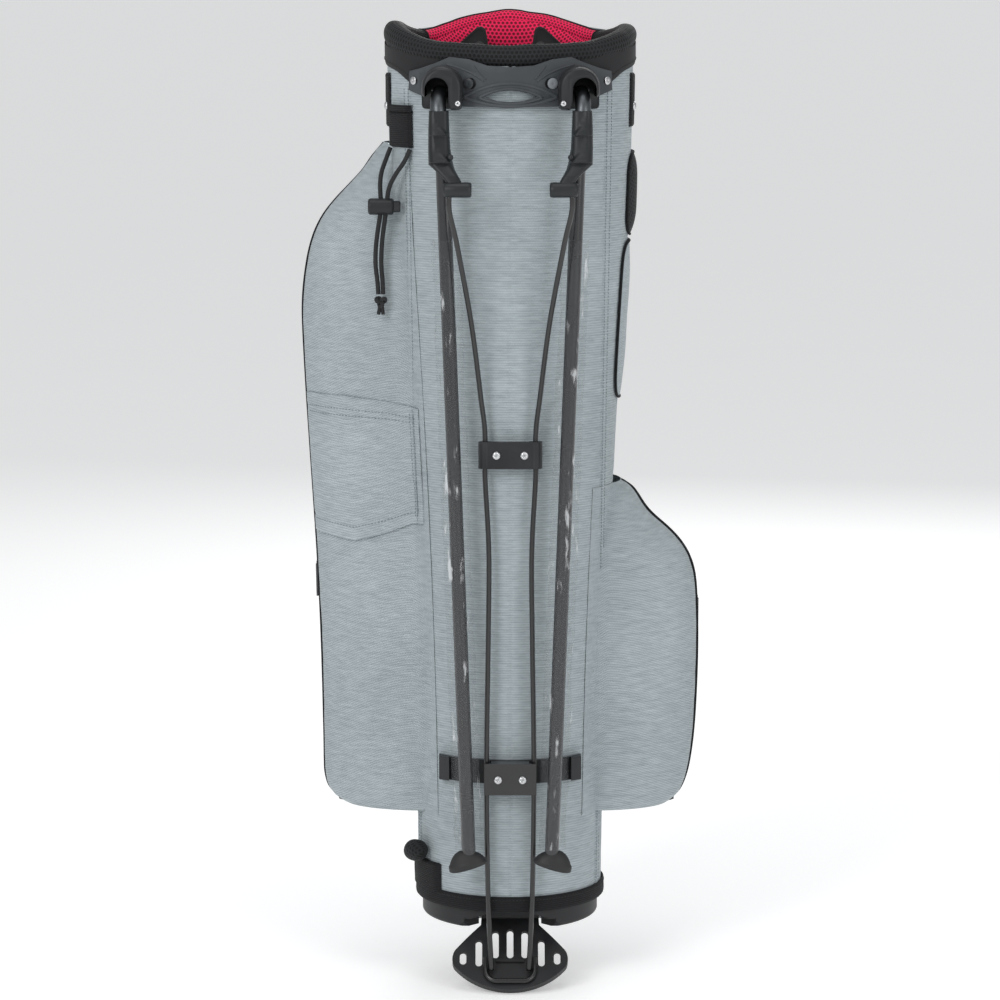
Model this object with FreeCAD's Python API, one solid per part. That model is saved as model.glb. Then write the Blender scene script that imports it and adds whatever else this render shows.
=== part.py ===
"""Golf stand bag with folded legs, a drooping foot pedal and the push rods that join them.

Units are millimetres.  +Z is up, -Y is the side with the legs, and the origin is the centre of
the flat underside of the base.
"""
import FreeCAD, Part
import math
import os
from FreeCAD import Placement, Rotation, Vector

# ---------------------------------------------------------------- driving dimensions
# bag tube: height, half width, half depth of its outer surface
TUBE = [
    (20, 92.5, 92.0), (110, 93.5, 92.5), (300, 97.5, 94.0), (450, 103.5, 96.5),
    (600, 111.5, 99.5), (690, 116.8, 101.5), (774, 119.8, 103.0), (850, 121.0, 104.0),
    (930, 121.5, 104.5),
]
SKIN_THICK = 3.0
SKIN_BOTTOM = 21.0
SKIN_GAP = 0.4                 # between the skin and what lies on it

# the collar lies in a plane that rises away from the legs
COLLAR_MID_Z = 874.0
COLLAR_SLOPE = 0.152
COLLAR_HALF_WIDTH = 113.0
COLLAR_HALF_DEPTH = 96.0
ROLL_RADIAL = 11.0
ROLL_HEIGHT = 10.0

BASE_RADIUS = 88.0
BASE_WALL = 3.0
BASE_FLOOR = 5.0
BASE_TOP = 60.0
BASE_EDGE = 4.0
BEVEL_START_Y = -70.0
BEVEL_END_Y = -88.0
BEVEL_HEIGHT = 19.0
NOTCH_HALF = 31.0
NOTCH_TOP = 13.0
NOTCH_BACK_Y = -40.0
BINDING_LOW = 20.0
BINDING_HIGH = 35.0
BINDING_THICK = 1.6

PEDAL_DROOP = 47.0             # degrees below level, with the legs folded
PEDAL_HINGE_Y = -48.0
PEDAL_HINGE_Z = 5.0
PEDAL_PIN_R = 2.5
PEDAL_LENGTH = 83.5
PEDAL_NECK_HALF = 28.0
PEDAL_HALF = 57.2
PEDAL_THICK = 4.0
PEDAL_RIM = 4.0
PEDAL_RIM_WIDE = 3.0
BARREL_R = 4.8
SLOT_WIDTH = 6.5
# the pedal's slots: X, then how far from the hinge they start and end
PEDAL_SLOTS = [(0, 17, 49), (14.5, 19, 49), (-14.5, 19, 49), (31, 29, 58), (-31, 29, 58),
               (46.6, 42, 56), (-46.6, 42, 56)]
RECESS_GAP = 1.5               # round the level pedal, in the base
RECESS_TOP = 9.0
KEEPER_HALF = 24.0
KEEPER_NEAR = 50.0
KEEPER_FAR = 75.5
RUNNING_GAP = 0.05

BRACKET_OUT = 6.5              # how far the bracket stands out from the tube
LEG_SPLAY = 25.0               # degrees that each leg's swing plane turns outwards
LEG_OPEN = 36.0
PIVOT = Vector(65.0, -108.0, 826.0)
PIVOT_PIN_R = 2.5
HEAD_R = 7.5
HEAD_HALF = 7.0
TUBE_R = 6.85
TUBE_WALL = 0.9
LEG_TOP = Vector(66.0, -128.0, 801.0)
LEG_END = Vector(40.3, -118.0, 78.0)
LEVER_HALF = 10.8
LEVER_X = 67.2
SOCKET_Y = -158.0              # the lever's socket that takes the push rod
SOCKET_Z = 734.0
SOCKET_R = 7.2
SOCKET_IN = 36.8
SOCKET_OUT = 63.8
SLEEVE_HALF = 14.0
SLEEVE_DEPTH = 8.2
SLEEVE_FILM = 0.7
SLEEVE_TOP_Z = 685.0
SLEEVE_LOW_Z = 90.0

ROD_R = 2.5
ROD_LOWER = [(18.3, -97, -38), (20.5, -98, 5), (22, -99.5, 50), (23, -103, 120), (23, -105, 190),
             (21.5, -106, 290), (20.8, -106, 380), (24.5, -106, 462)]
ROD_UPPER = [(24.5, -106, 490), (28.5, -109, 532), (37.5, -121, 605), (50.5, -143, 680),
             (57.4, -155.4, 712), (58, -157.6, 721.4)]
ROD_JOIN_Z = 476.0

POCKET_WALL = 2.5
# side pockets: height, how far out the pocket reaches, its half depth, the middle of its depth
LEFT_POCKET = [
    (774, 121, 26, 14), (752, 140, 36, 13), (727, 162, 43, 12), (700, 185, 50, 12),
    (676, 196, 53, 12), (646, 202.5, 56, 12), (617, 205.5, 58, 12), (577, 205, 58, 12),
    (517, 202, 58, 12), (346, 192, 57, 12), (153, 187, 56, 12), (122, 181, 54, 12),
    (109, 164, 50, 12),
]
RIGHT_POCKET = [
    (439, 104, 36, 14), (409, 136, 44, 13), (390, 156, 48, 12), (371, 173, 52, 12),
    (349, 183, 55, 12), (323, 186.5, 57, 12), (214, 186.5, 57, 12), (153, 181, 56, 12),
    (127, 174, 54, 12), (109, 158, 50, 12),
]
BALL_POCKET = [
    (470, 99, 40, 0), (440, 125, 52, 0), (400, 148, 58, 0), (340, 158, 61, 0),
    (240, 160, 62, 0), (160, 158, 61, 0), (130, 150, 58, 0), (112, 134, 54, 0),
]
ZIP_HALF = 6.0
ZIP_THICK = 1.4
ZIP_SIDE = 30.0                # where the side pockets' zips run, in Y
ZIP_FAR_X = -32.0              # where the ball pocket's zip runs, in X
ZIP_LIFT = 0.3
ZIP_SLIDER_GAP = 2.0
FAR = 400.0                    # larger than the bag, for cutting shapes

CORD_D = 4.4
CORD_OUTER = [(-116.5, -33.5, 768.2), (-121, -36, 757), (-126, -43, 743), (-126.5, -50, 728),
              (-124.8, -53, 712), (-127.5, -54, 696), (-130.5, -54.5, 676), (-131.2, -55, 655),
              (-129, -55.5, 640), (-128.2, -55.5, 627)]
CORD_INNER = [(-97, -64, 767.8), (-101, -64.5, 757), (-111, -61, 744), (-118.5, -56, 729),
              (-119.8, -53, 712), (-122.3, -54, 696), (-124.8, -54.5, 676), (-125.6, -55, 655),
              (-124, -55.5, 640), (-123.6, -55.5, 627)]
LOCK_Z = 712.0
LOCK_X = (-138.0, -113.0)
LOCK_R = 8.0
BUTTON_OUT = 6.5
BUTTON_R = 5.6


# ---------------------------------------------------------------- helpers
def mirror(shape):
    """The same shape on the other side of the bag."""
    return shape.mirror(Vector(0, 0, 0), Vector(1, 0, 0))


def box(x, y, z):
    """A box from its (low, high) limits."""
    return Part.makeBox(x[1] - x[0], y[1] - y[0], z[1] - z[0], Vector(x[0], y[0], z[0]))


def rod(start, end, radius):
    """A round bar between two points."""
    line = Vector(*end) - Vector(*start)
    return Part.makeCylinder(radius, line.Length, Vector(*start), line)


def prism(points, origin, along, across, depth):
    """A flat outline of (along, up) points, pushed both ways by depth in the across direction."""
    corners = [origin + along * p[0] + Vector(0, 0, 1) * p[1] - across * depth for p in points]
    face = Part.Face(Part.makePolygon(corners + corners[:1]))
    return face.extrude(across * (2 * depth))


def ellipse_wire(centre, half_x, half_y):
    """A level ellipse; the longer axis is turned to where it belongs."""
    curve = Part.Ellipse(Vector(0, 0, 0), max(half_x, half_y), min(half_x, half_y))
    wire = Part.Wire([curve.toShape()])
    if half_y > half_x:
        wire.rotate(Vector(0, 0, 0), Vector(0, 0, 1), 90)
    wire.translate(centre)
    return wire


def bag_solid(grow):
    """The tube's whole volume, its surface moved out by grow."""
    wires = [ellipse_wire(Vector(0, 0, z), a + grow, b + grow) for z, a, b in TUBE]
    return Part.makeLoft(wires, True, False)


def layer(near, far):
    """A layer round the tube, from near to far millimetres outside its surface."""
    return bag_solid(far).cut(bag_solid(near))


def tube_at(z):
    """Half width and half depth of the tube at a height."""
    for (z0, a0, b0), (z1, a1, b1) in zip(TUBE, TUBE[1:]):
        if z <= z1:
            part = (z - z0) / (z1 - z0)
            return a0 + (a1 - a0) * part, b0 + (b1 - b0) * part
    return TUBE[-1][1], TUBE[-1][2]


def tube_y(x, z):
    """Where the tube's leg side lies at x."""
    a, b = tube_at(z)
    return -b * math.sqrt(1 - (x / a) ** 2)


def tube_normal(x, z):
    """The outward direction of the tube's leg side at x."""
    a, b = tube_at(z)
    return Vector(x / a ** 2, tube_y(x, z) / b ** 2, 0).normalize()


def below_collar(offset):
    """Everything under the collar's plane, moved up by offset."""
    slope = math.degrees(math.atan(COLLAR_SLOPE))
    block = Part.makeBox(400, 400, 1200, Vector(-200, -200, -1200))
    block.Placement = Placement(Vector(0, 0, COLLAR_MID_Z + offset), Rotation(Vector(1, 0, 0), slope))
    return block


def rounded_path(points):
    """Straight runs joined by tangent arcs, with the radius of each arc."""
    spots = [Vector(*p) for p in points]
    edges, radii, last = [], [], spots[0]
    for before, corner, after in zip(spots, spots[1:], spots[2:]):
        back, ahead = before - corner, after - corner
        reach = 0.45 * min(back.Length, ahead.Length)
        half_turn = (math.pi - back.getAngle(ahead)) / 2
        radii.append(reach / math.tan(half_turn))
        back.normalize()
        ahead.normalize()
        start, end = corner + back * reach, corner + ahead * reach
        inward = (back + ahead).normalize()
        to_centre = radii[-1] / math.cos(half_turn)
        middle = corner + inward * (to_centre - radii[-1])
        edges.append(Part.LineSegment(last, start).toShape())
        edges.append(Part.Arc(start, middle, end).toShape())
        last = end
    edges.append(Part.LineSegment(last, spots[-1]).toShape())
    return Part.Wire(edges), radii


def wire_rod(points, radius):
    """A round bar along straight runs joined by tangent arcs."""
    path = rounded_path(points)[0]
    circle = Part.Circle(Vector(*points[0]), path.Edges[0].tangentAt(0), radius)
    return path.makePipeShell([Part.Wire([circle.toShape()])], True, False)


def turned(shape, centre, axis, degrees):
    """A copy turned about an axis."""
    copy = shape.copy()
    copy.rotate(centre, axis, degrees)
    return copy


def group(shapes):
    """Separate solids kept as one part file."""
    return Part.makeCompound([solid for shape in shapes for solid in shape.Solids])


def both_sides(shape):
    """A piece and its mirror image as separate solids."""
    return group([shape, mirror(shape)])


# ---------------------------------------------------------------- base and pedal
def bevel_cut(inset):
    """The wedge that the base's leg side is cut back by, moved inwards by inset."""
    run = BEVEL_START_Y - BEVEL_END_Y
    slope = BEVEL_HEIGHT / run
    shift = inset * math.hypot(1, slope)
    profile = [(BEVEL_START_Y + 30, -30 * slope + shift), (BEVEL_START_Y - 60, 60 * slope + shift),
               (BEVEL_START_Y - 60, -60 * slope)]
    return prism(profile, Vector(0, 0, 0), Vector(0, 1, 0), Vector(1, 0, 0), 120)


def base_shell():
    """A round cup with a cut-back leg side, a notch that the pedal hinges in and a recess that
    the raised pedal fits."""
    outer = Part.makeCylinder(BASE_RADIUS, BASE_TOP)
    bottom_edges = [e for e in outer.Edges if e.BoundBox.ZMax < 1]
    outer = outer.makeFillet(BASE_EDGE, bottom_edges).cut(bevel_cut(0))
    hollow = Part.makeCylinder(BASE_RADIUS - BASE_WALL, BASE_TOP, Vector(0, 0, BASE_FLOOR))
    hollow = hollow.cut(bevel_cut(BASE_WALL))
    half, top = NOTCH_HALF + 4, NOTCH_TOP + BASE_WALL
    notch_housing = box((-half, half), (-FAR, NOTCH_BACK_Y + BASE_WALL), (-BASE_FLOOR, top))
    wide = PEDAL_HALF + 5
    recess_housing = box((-wide, wide), (-FAR, -62), (-BASE_FLOOR, RECESS_TOP + BASE_WALL))
    shell = outer.cut(hollow.cut([notch_housing, recess_housing]))
    notch = box((-NOTCH_HALF, NOTCH_HALF), (-FAR, NOTCH_BACK_Y), (-BASE_FLOOR, NOTCH_TOP))
    recess = pedal_face(-RECESS_GAP).extrude(Vector(0, 0, RECESS_TOP + BASE_FLOOR))
    recess.translate(Vector(0, PEDAL_HINGE_Y, -BASE_FLOOR))
    return shell.cut([notch, recess, pedal_pin()])


def base_binding():
    """The tape sewn round the lower edge of the skin."""
    return layer(SKIN_GAP, SKIN_GAP + BINDING_THICK).common(
        box((-150, 150), (-150, 150), (BINDING_LOW, BINDING_HIGH)))


def pedal_pin():
    """The hinge pin in the base's notch."""
    half = NOTCH_HALF + 4
    return rod((-half, PEDAL_HINGE_Y, PEDAL_HINGE_Z), (half, PEDAL_HINGE_Y, PEDAL_HINGE_Z), PEDAL_PIN_R)


def drooped(shape):
    """A pedal piece, made level with its hinge at the origin, moved to where it hangs."""
    copy = shape.copy()
    copy.rotate(Vector(0, 0, 0), Vector(1, 0, 0), PEDAL_DROOP)
    copy.translate(Vector(0, PEDAL_HINGE_Y, PEDAL_HINGE_Z))
    return copy


def pedal_face(inset):
    """The pedal's outline: a straight neck, a flare to each side and a long round front edge."""
    neck, tip = PEDAL_NECK_HALF - inset, PEDAL_LENGTH - inset
    slant = 0.7 * inset
    start = Vector(neck, 7, 0)
    flare_low = Vector(neck + 1, -12, 0)
    flare_mid = Vector(44.5 - slant, -28.3 - slant, 0)
    flare_high = Vector(54.5 - inset, -40, 0)
    corner_mid = Vector(PEDAL_HALF - inset, -48.5, 0)
    corner_end = Vector(55.5 - inset, -57.5 + inset / 2, 0)

    def flip(v):
        return Vector(-v.x, v.y, v.z)

    right = [
        Part.LineSegment(start, flare_low), Part.Arc(flare_low, flare_mid, flare_high),
        Part.Arc(flare_high, corner_mid, corner_end),
    ]
    front = [Part.Arc(corner_end, Vector(0, -tip, 0), flip(corner_end))]
    left = [
        Part.Arc(flip(corner_end), flip(corner_mid), flip(flare_high)),
        Part.Arc(flip(flare_high), flip(flare_mid), flip(flare_low)),
        Part.LineSegment(flip(flare_low), flip(start)),
    ]
    back = [Part.LineSegment(flip(start), start)]
    return Part.Face(Part.Wire([curve.toShape() for curve in right + front + left + back]))


def round_slot(x, near, far):
    """A slot with round ends, to cut down through the level pedal."""
    half = SLOT_WIDTH / 2
    ends_y = (-far + half, -near - half)
    bar = box((x - half, x + half), ends_y, (-20, 20))
    return bar.fuse([Part.makeCylinder(half, 40, Vector(x, y, -20)) for y in ends_y])


def pedal():
    """The moulded foot pedal: plate, turned-down rim, stiffening ridge and hinge barrel."""
    half = PEDAL_THICK / 2
    plate = pedal_face(0).extrude(Vector(0, 0, PEDAL_THICK + PEDAL_RIM))
    plate.translate(Vector(0, 0, -half - PEDAL_RIM))
    under = pedal_face(PEDAL_RIM_WIDE).extrude(Vector(0, 0, PEDAL_RIM))
    under.translate(Vector(0, 0, -half - PEDAL_RIM))
    body = plate.cut(under.common(box((-FAR, FAR), (-FAR, -10), (-FAR, FAR))))
    barrel = rod((-PEDAL_NECK_HALF, 0, 0), (PEDAL_NECK_HALF, 0, 0), BARREL_R)
    body = body.cut(box((-FAR, FAR), (-3, FAR), (-FAR, FAR))).fuse(barrel)
    body = body.fuse(box((-14, 14), (-54, -50.5), (half - 0.5, half + 2)))
    body = body.cut([round_slot(*slot) for slot in PEDAL_SLOTS])
    bore = rod((-60, 0, 0), (60, 0, 0), PEDAL_PIN_R + RUNNING_GAP)
    return drooped(body.cut(bore).removeSplitter())


def pedal_keeper():
    """The bent wire that holds the rods' lower ends against the pedal."""
    lift = PEDAL_THICK / 2 + ROD_R
    points = [(-KEEPER_HALF, -KEEPER_NEAR, lift), (-KEEPER_HALF, -KEEPER_FAR, lift),
              (KEEPER_HALF, -KEEPER_FAR, lift), (KEEPER_HALF, -KEEPER_NEAR, lift)]
    return drooped(wire_rod(points, ROD_R - 0.1))


# ---------------------------------------------------------------- tube, collar and dividers
def bag_skin():
    """The fabric tube, open at the top."""
    skin = layer(-SKIN_THICK, 0).common(below_collar(-ROLL_HEIGHT - 0.6))
    return skin.common(box((-150, 150), (-150, 150), (SKIN_BOTTOM, 900)))


def collar_frame():
    """The moulded ring that keeps the mouth open, inside the skin."""
    ring = layer(-SKIN_THICK - 4.2, -SKIN_THICK - 0.2).common(below_collar(-ROLL_HEIGHT - 1.5))
    return ring.common(box((-150, 150), (-150, 150), (812, 900)))


def collar_pad():
    """The padded roll round the mouth."""
    rise = math.hypot(1, COLLAR_SLOPE)
    curve = Part.Ellipse(Vector(0, 0, 0), COLLAR_HALF_WIDTH, COLLAR_HALF_DEPTH * rise)
    path = Part.Wire([curve.toShape()])
    section = Part.Ellipse(Vector(0, 0, 0), ROLL_RADIAL, ROLL_HEIGHT).toShape()
    section.rotate(Vector(0, 0, 0), Vector(1, 0, 0), 90)
    section.translate(Vector(COLLAR_HALF_WIDTH, 0, 0))
    roll = path.makePipeShell([Part.Wire([section])], True, False)
    roll.rotate(Vector(0, 0, 0), Vector(1, 0, 0), math.degrees(math.atan(COLLAR_SLOPE)))
    roll.translate(Vector(0, 0, COLLAR_MID_Z))
    return roll


def collar_skirt():
    """The mesh band sewn under the roll, cut away where the bracket is."""
    band = layer(SKIN_GAP, SKIN_GAP + 2.0).common(below_collar(-ROLL_HEIGHT - 1))
    band = band.cut(below_collar(-ROLL_HEIGHT - 18))
    return band.cut(box((-100, 100), (-150, 0), (700, 950)))


def collar_lining():
    """The crescent of padding on the mouth's far wall."""
    inner = COLLAR_HALF_WIDTH - ROLL_RADIAL - 0.4, COLLAR_HALF_DEPTH - ROLL_RADIAL - 0.4
    wires = [ellipse_wire(Vector(0, 0, z), *inner) for z in (800, 901)]
    cores = [ellipse_wire(Vector(0, -9, z), inner[0] - 1, inner[1] + 1) for z in (799, 902)]
    crescent = Part.makeLoft(wires, True, True).cut(Part.makeLoft(cores, True, True))
    crescent = crescent.common(box((-90, 90), (20, 120), (800, 901)))
    return crescent.common(Part.makeCylinder(130, 200, Vector(0, -20, 771), Vector(0, 1, 0)))


def divider_bars():
    """Two padded bars across the mouth, from the leg side to the far side."""
    half = COLLAR_HALF_DEPTH - ROLL_RADIAL - 12.5
    z = COLLAR_MID_Z - 10
    bar = rod((30, -half - 6, z - COLLAR_SLOPE * half), (30, half - 3, z + COLLAR_SLOPE * half), 7.5)
    return both_sides(bar)


def divider_tabs():
    """The stitched triangles that stand on the bars."""
    outline = [(-24, COLLAR_MID_Z - 6.5), (24, COLLAR_MID_Z + 1), (2, COLLAR_MID_Z + 15)]
    tab = prism(outline, Vector(30, 0, 0), Vector(0, 1, 0), Vector(1, 0, 0), 1.6)
    return both_sides(tab.cut(divider_bars()))


def divider_panels():
    """The two fabric panels that hang in the tube under the bars."""
    panel = box((29.2, 30.8), (-80, 68), (260, 838))
    return both_sides(panel)


def stays():
    """Three rods that hold the mouth up from the base."""
    spots = [(-82, 20), (82, 20), (0, 84)]
    bars = []
    for x, y in spots:
        top = Vector(x * 1.22, y * 1.07, 811)
        bars.append(rod((x, y, 61), (top.x, top.y, top.z), 3.0))
    return group(bars)


# ---------------------------------------------------------------- stand bracket and hoods
def bracket():
    """The moulded bracket that carries both leg pivots, with a lens-shaped hand slot."""
    right = [(0, 847.5), (22, 849), (40, 855), (58, 857), (72, 851), (86, 846), (97, 843), (98, 825),
             (88, 821), (70, 813), (45, 810), (0, 809.5)]
    outline = right + [(-x, z) for x, z in reversed(right[1:-1])]
    slab = prism(outline, Vector(0, -90, 0), Vector(1, 0, 0), Vector(0, 1, 0), 60)
    body = layer(SKIN_GAP, BRACKET_OUT).common(slab).cut(collar_pad())
    lens = [(-26, 820), (-13, 824.6), (0, 825.4), (13, 824.6), (26, 820), (13, 815.4), (0, 814.6),
            (-13, 815.4)]
    body = body.cut(prism(lens, Vector(0, -90, 0), Vector(1, 0, 0), Vector(0, 1, 0), 60))
    return body.cut(bracket_rivets()).cut(bracket_studs())


def surface_stud(x, z, radius, near, far):
    """A round head that stands on the tube's leg side."""
    normal = tube_normal(x, z)
    spot = Vector(x, tube_y(x, z), z)
    return rod(spot + normal * near, spot + normal * far, radius)


def bracket_rivets():
    """The rivets through the bracket's two ears."""
    return both_sides(surface_stud(88, 834, 4.0, SKIN_GAP, BRACKET_OUT + 1.6))


def bracket_studs():
    """The round studs beside the hand slot."""
    return both_sides(surface_stud(36.3, 832, 5.3, 3, BRACKET_OUT + 2.2))


def swing_axis():
    """The hinge line of the leg on the +X side."""
    splay = math.radians(LEG_SPLAY)
    return Vector(-math.cos(splay), -math.sin(splay), 0)


def swing_out():
    """The level direction that the +X leg's foot moves in."""
    splay = math.radians(LEG_SPLAY)
    return Vector(math.sin(splay), -math.cos(splay), 0)


def lever(grow):
    """The lever on the leg's top end: a narrow head on the pivot, a stepped bar and a
    socket that takes the push rod."""
    axis, out = swing_axis(), swing_out()
    head = rod(PIVOT - axis * (HEAD_HALF + grow), PIVOT + axis * (HEAD_HALF + grow), HEAD_R + grow)
    neck_points = [(-6 - grow, -4 - grow), (1, 7.5 + grow), (29 + grow, -12 + grow),
                   (29 + grow, -25), (11 - grow, -25)]
    neck = prism(neck_points, PIVOT, out, axis, HEAD_HALF + grow)
    side_points = [(-118 + grow, 803 + grow), (-137 - grow, 805 + grow), (-142 - grow, 786),
                   (-147 - grow, 784.5), (-150 - grow, 764), (-156 - grow, 762.5),
                   (-152 - grow, 757 - grow), (-118 + grow, 757 - grow)]
    bar = prism(side_points, Vector(LEVER_X, 0, 0), Vector(0, 1, 0), Vector(1, 0, 0), LEVER_HALF + grow)
    low = [(77.8 + grow, 757.5), (77.8 + grow, 757 - grow), (66 + grow, 747 - grow), (62, 736),
           (47 - grow, 736),
           (44 - grow, 742 + grow), (50 - grow, 754 + grow), (56.5 - grow, 762)]
    arm = prism(low, Vector(0, -150, 0), Vector(1, 0, 0), Vector(0, 1, 0), 13 + grow)
    inner_end = (SOCKET_IN - grow, SOCKET_Y, SOCKET_Z)
    socket = rod(inner_end, (SOCKET_OUT + grow, SOCKET_Y, SOCKET_Z), SOCKET_R + grow)
    return head.fuse([neck, bar, arm, socket]).removeSplitter()


def pivot_pin(radius):
    """The pin that the +X leg swings on."""
    axis = swing_axis()
    return rod(PIVOT - axis * 14, PIVOT + axis * 14, radius)


def leg_lever():
    """The lever with its bores for the pin and the tube."""
    body = lever(0).cut(pivot_pin(PIVOT_PIN_R + RUNNING_GAP))
    body = body.cut(rod(LEG_TOP, LEG_END, TUBE_R))
    body = body.cut(rod((SOCKET_IN - 1, SOCKET_Y, SOCKET_Z), (SOCKET_IN + 8, SOCKET_Y, SOCKET_Z), 3.2))
    return body.fuse(Part.makeSphere(3.0, Vector(LEVER_X - LEVER_HALF, -147, 766)))


def hood():
    """The domed housing over one leg pivot, open in front and below for the swing."""
    half, top = 19.5, 829.0
    block = box((PIVOT.x - half, PIVOT.x + half), (-134, -86), (808, top))
    dome = Part.makeCylinder(half, 48, Vector(PIVOT.x, -134, top), Vector(0, 1, 0))
    shape = block.fuse(dome).removeSplitter()
    rim = [e for e in shape.Edges if e.BoundBox.YMax < -133.9 and e.BoundBox.ZMax > 809]
    shape = shape.makeFillet(6, rim)
    shape = shape.cut(bag_solid(BRACKET_OUT + 0.2))
    for step in range(0, 10):
        shape = shape.cut(turned(lever(1.0), PIVOT, swing_axis(), LEG_OPEN * step / 9))
    shape = shape.cut(pivot_pin(PIVOT_PIN_R)).cut(hood_screw())
    return max(shape.Solids, key=lambda solid: solid.Volume)


def hood_screw():
    """The small screw at the hood's inner lower corner."""
    return rod((49.0, -129.0, 813.5), (49.0, -112.0, 813.5), 2.6)


# ---------------------------------------------------------------- legs and rods
def leg_tube():
    """One hollow leg."""
    return rod(LEG_TOP, LEG_END, TUBE_R).cut(rod(LEG_TOP, LEG_END, TUBE_R - TUBE_WALL))


def along_leg(z):
    """The point of the leg's centre line at a height."""
    return LEG_TOP + (LEG_END - LEG_TOP) * ((LEG_TOP.z - z) / (LEG_TOP.z - LEG_END.z))


def leg_sleeve():
    """The loose film tube round the leg."""
    shells = []
    for inset in (0, SLEEVE_FILM):
        wires = [ellipse_wire(along_leg(z), SLEEVE_HALF - inset, SLEEVE_DEPTH - inset)
                 for z in (SLEEVE_TOP_Z, SLEEVE_LOW_Z)]
        shells.append(Part.makeLoft(wires, True, True))
    return shells[0].cut(shells[1])


def leg_foot():
    """The rubber foot, its sole rising towards the middle of the bag."""
    outline = [(59, 62), (60.5, 70), (52, 88), (31, 88), (22.5, 78), (24, 72.5)]
    wedge = prism(outline, Vector(0, LEG_END.y, 0), Vector(1, 0, 0), Vector(0, 1, 0), 11)
    upright = [e for e in wedge.Edges if abs(e.tangentAt(0).y) > 0.9]
    wedge = wedge.makeFillet(1.8, upright)
    return wedge.cut(rod(LEG_TOP, LEG_END, TUBE_R))


def rod_clamp():
    """The two halves of the bridge that ties the rods together, with ribbed round ends."""
    low, high = ROD_JOIN_Z - 13, ROD_JOIN_Z + 13
    y = ROD_LOWER[-1][1]
    back = box((-24, 24), (y + 0.1, y + 4.5), (low + 1, high - 1))
    front = box((-24, 24), (y - 6, y - 0.1), (low, high))
    ends = [Part.makeCylinder(6.4, high - low, Vector(side * 24.5, y - 0.1, low)) for side in (-1, 1)]
    front = front.fuse(ends).common(box((-40, 40), (y - 10, y - 0.1), (low, high)))
    back = back.fuse([e.common(box((-40, 40), (y + 0.1, y + 4.5), (low, high))) for e in ends])
    wires = [rod((side * 24.5, y, low - 20), (side * 24.5, y, high + 20), ROD_R) for side in (-1, 1)]
    screws = clamp_screws()
    return group([half.cut(wires).cut(screws) for half in (front, back)])


def clamp_screws():
    """The two screws through the bridge."""
    y = ROD_LOWER[-1][1]
    shank = rod((13.5, y + 4.4, ROD_JOIN_Z), (13.5, y - 6.5, ROD_JOIN_Z), 2.2)
    head = rod((13.5, y - 6, ROD_JOIN_Z), (13.5, y - 8, ROD_JOIN_Z), 4.0)
    return both_sides(shank.fuse(head).removeSplitter())


def push_rod():
    """The lower part of one rod, from the pedal into the bridge."""
    last = ROD_LOWER[-1]
    low = wire_rod(ROD_LOWER, ROD_R)
    return low.fuse(rod(last, (last[0], last[1], ROD_JOIN_Z + 12), ROD_R)).removeSplitter()


def rod_top():
    """The upper part of one rod, from the bridge to the lever."""
    top = wire_rod(ROD_UPPER, ROD_R)
    first = ROD_UPPER[0]
    stub = rod((first[0], first[1], ROD_JOIN_Z + 13.6), first, ROD_R)
    return top.fuse(stub).removeSplitter()


def leg_rest():
    """The bar on the skin that the folded legs lie against, its ends turned up."""
    bar = layer(SKIN_GAP, 4.5).common(box((-70, 70), (-150, 0), (150, 173)))
    upright = box((-66, 66), (-150, 0), (147, 176))
    horn = layer(SKIN_GAP, 9.5).common(box((60, 70), (-150, 0), (150, 173)))
    return bar.common(upright).fuse([horn, mirror(horn)]).removeSplitter()


def guide_plate():
    """The folded plate that keeps the rods close to the bag."""
    front = box((-25.5, 25.5), (-112.5, -98.8), (142, 173))
    for side in (-1, 1):
        front = front.cut(box((side * 23 - 4.5, side * 23 + 4.5), (-109.5, -98), (140, 175)))
    return front.cut(guide_screws())


def guide_screws():
    """The screws that hold the guide plate."""
    shank = rod((12, -99, 157), (12, -113, 157), 2.2)
    head = rod((12, -112.5, 157), (12, -114.3, 157), 4.0)
    return both_sides(shank.fuse(head).removeSplitter())


# ---------------------------------------------------------------- pockets and trim
def pocket_solid(sections, grow, side):
    """A pocket's whole volume; side is +1 or -1 on X, and 0 for the far side."""
    wires = []
    for z, reach, half, middle in sections:
        a, b = tube_at(z)
        root = (a if side else b) - 12
        out = (reach + grow - root, half + grow)
        if side:
            wires.append(ellipse_wire(Vector(side * root, middle, z), out[0], out[1]))
        else:
            wires.append(ellipse_wire(Vector(middle, root, z), out[1], out[0]))
    return Part.makeLoft(wires, True, False)


def pocket(sections, side):
    """A hollow pocket that lies against the skin."""
    outer = pocket_solid(sections, 0, side).cut(bag_solid(SKIN_GAP))
    core = pocket_solid(sections, -POCKET_WALL, side).cut(bag_solid(SKIN_GAP + POCKET_WALL))
    low, high = sections[-1][0], sections[0][0]
    trimmed = core.common(box((-300, 300), (-300, 300), (low + POCKET_WALL, high - 8)))
    return outer.cut(trimmed)


def pocket_patch(sections, side, near, far, limits):
    """A patch that lies on a pocket, from near to far millimetres above it."""
    sheet = pocket_solid(sections, far, side).cut(pocket_solid(sections, near, side))
    return sheet.cut(bag_solid(near)).common(box(*limits))


def left_band():
    """The sleeve sewn round the front half of the left pocket."""
    return pocket_patch(LEFT_POCKET, -1, 0.3, 2.3, ((-230, -80), (-90, 6), (386, 525)))


def zip_tape(sections, side, low, high):
    """One zip's tape, lying on its pocket."""
    if side:
        out = (120, 230) if side > 0 else (-230, -120)
        limits = (out, (ZIP_SIDE - ZIP_HALF, ZIP_SIDE + ZIP_HALF), (low, high))
    else:
        limits = ((ZIP_FAR_X - ZIP_HALF, ZIP_FAR_X + ZIP_HALF), (100, 230), (low, high))
    return pocket_patch(sections, side, ZIP_LIFT, ZIP_LIFT + ZIP_THICK, limits)


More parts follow.
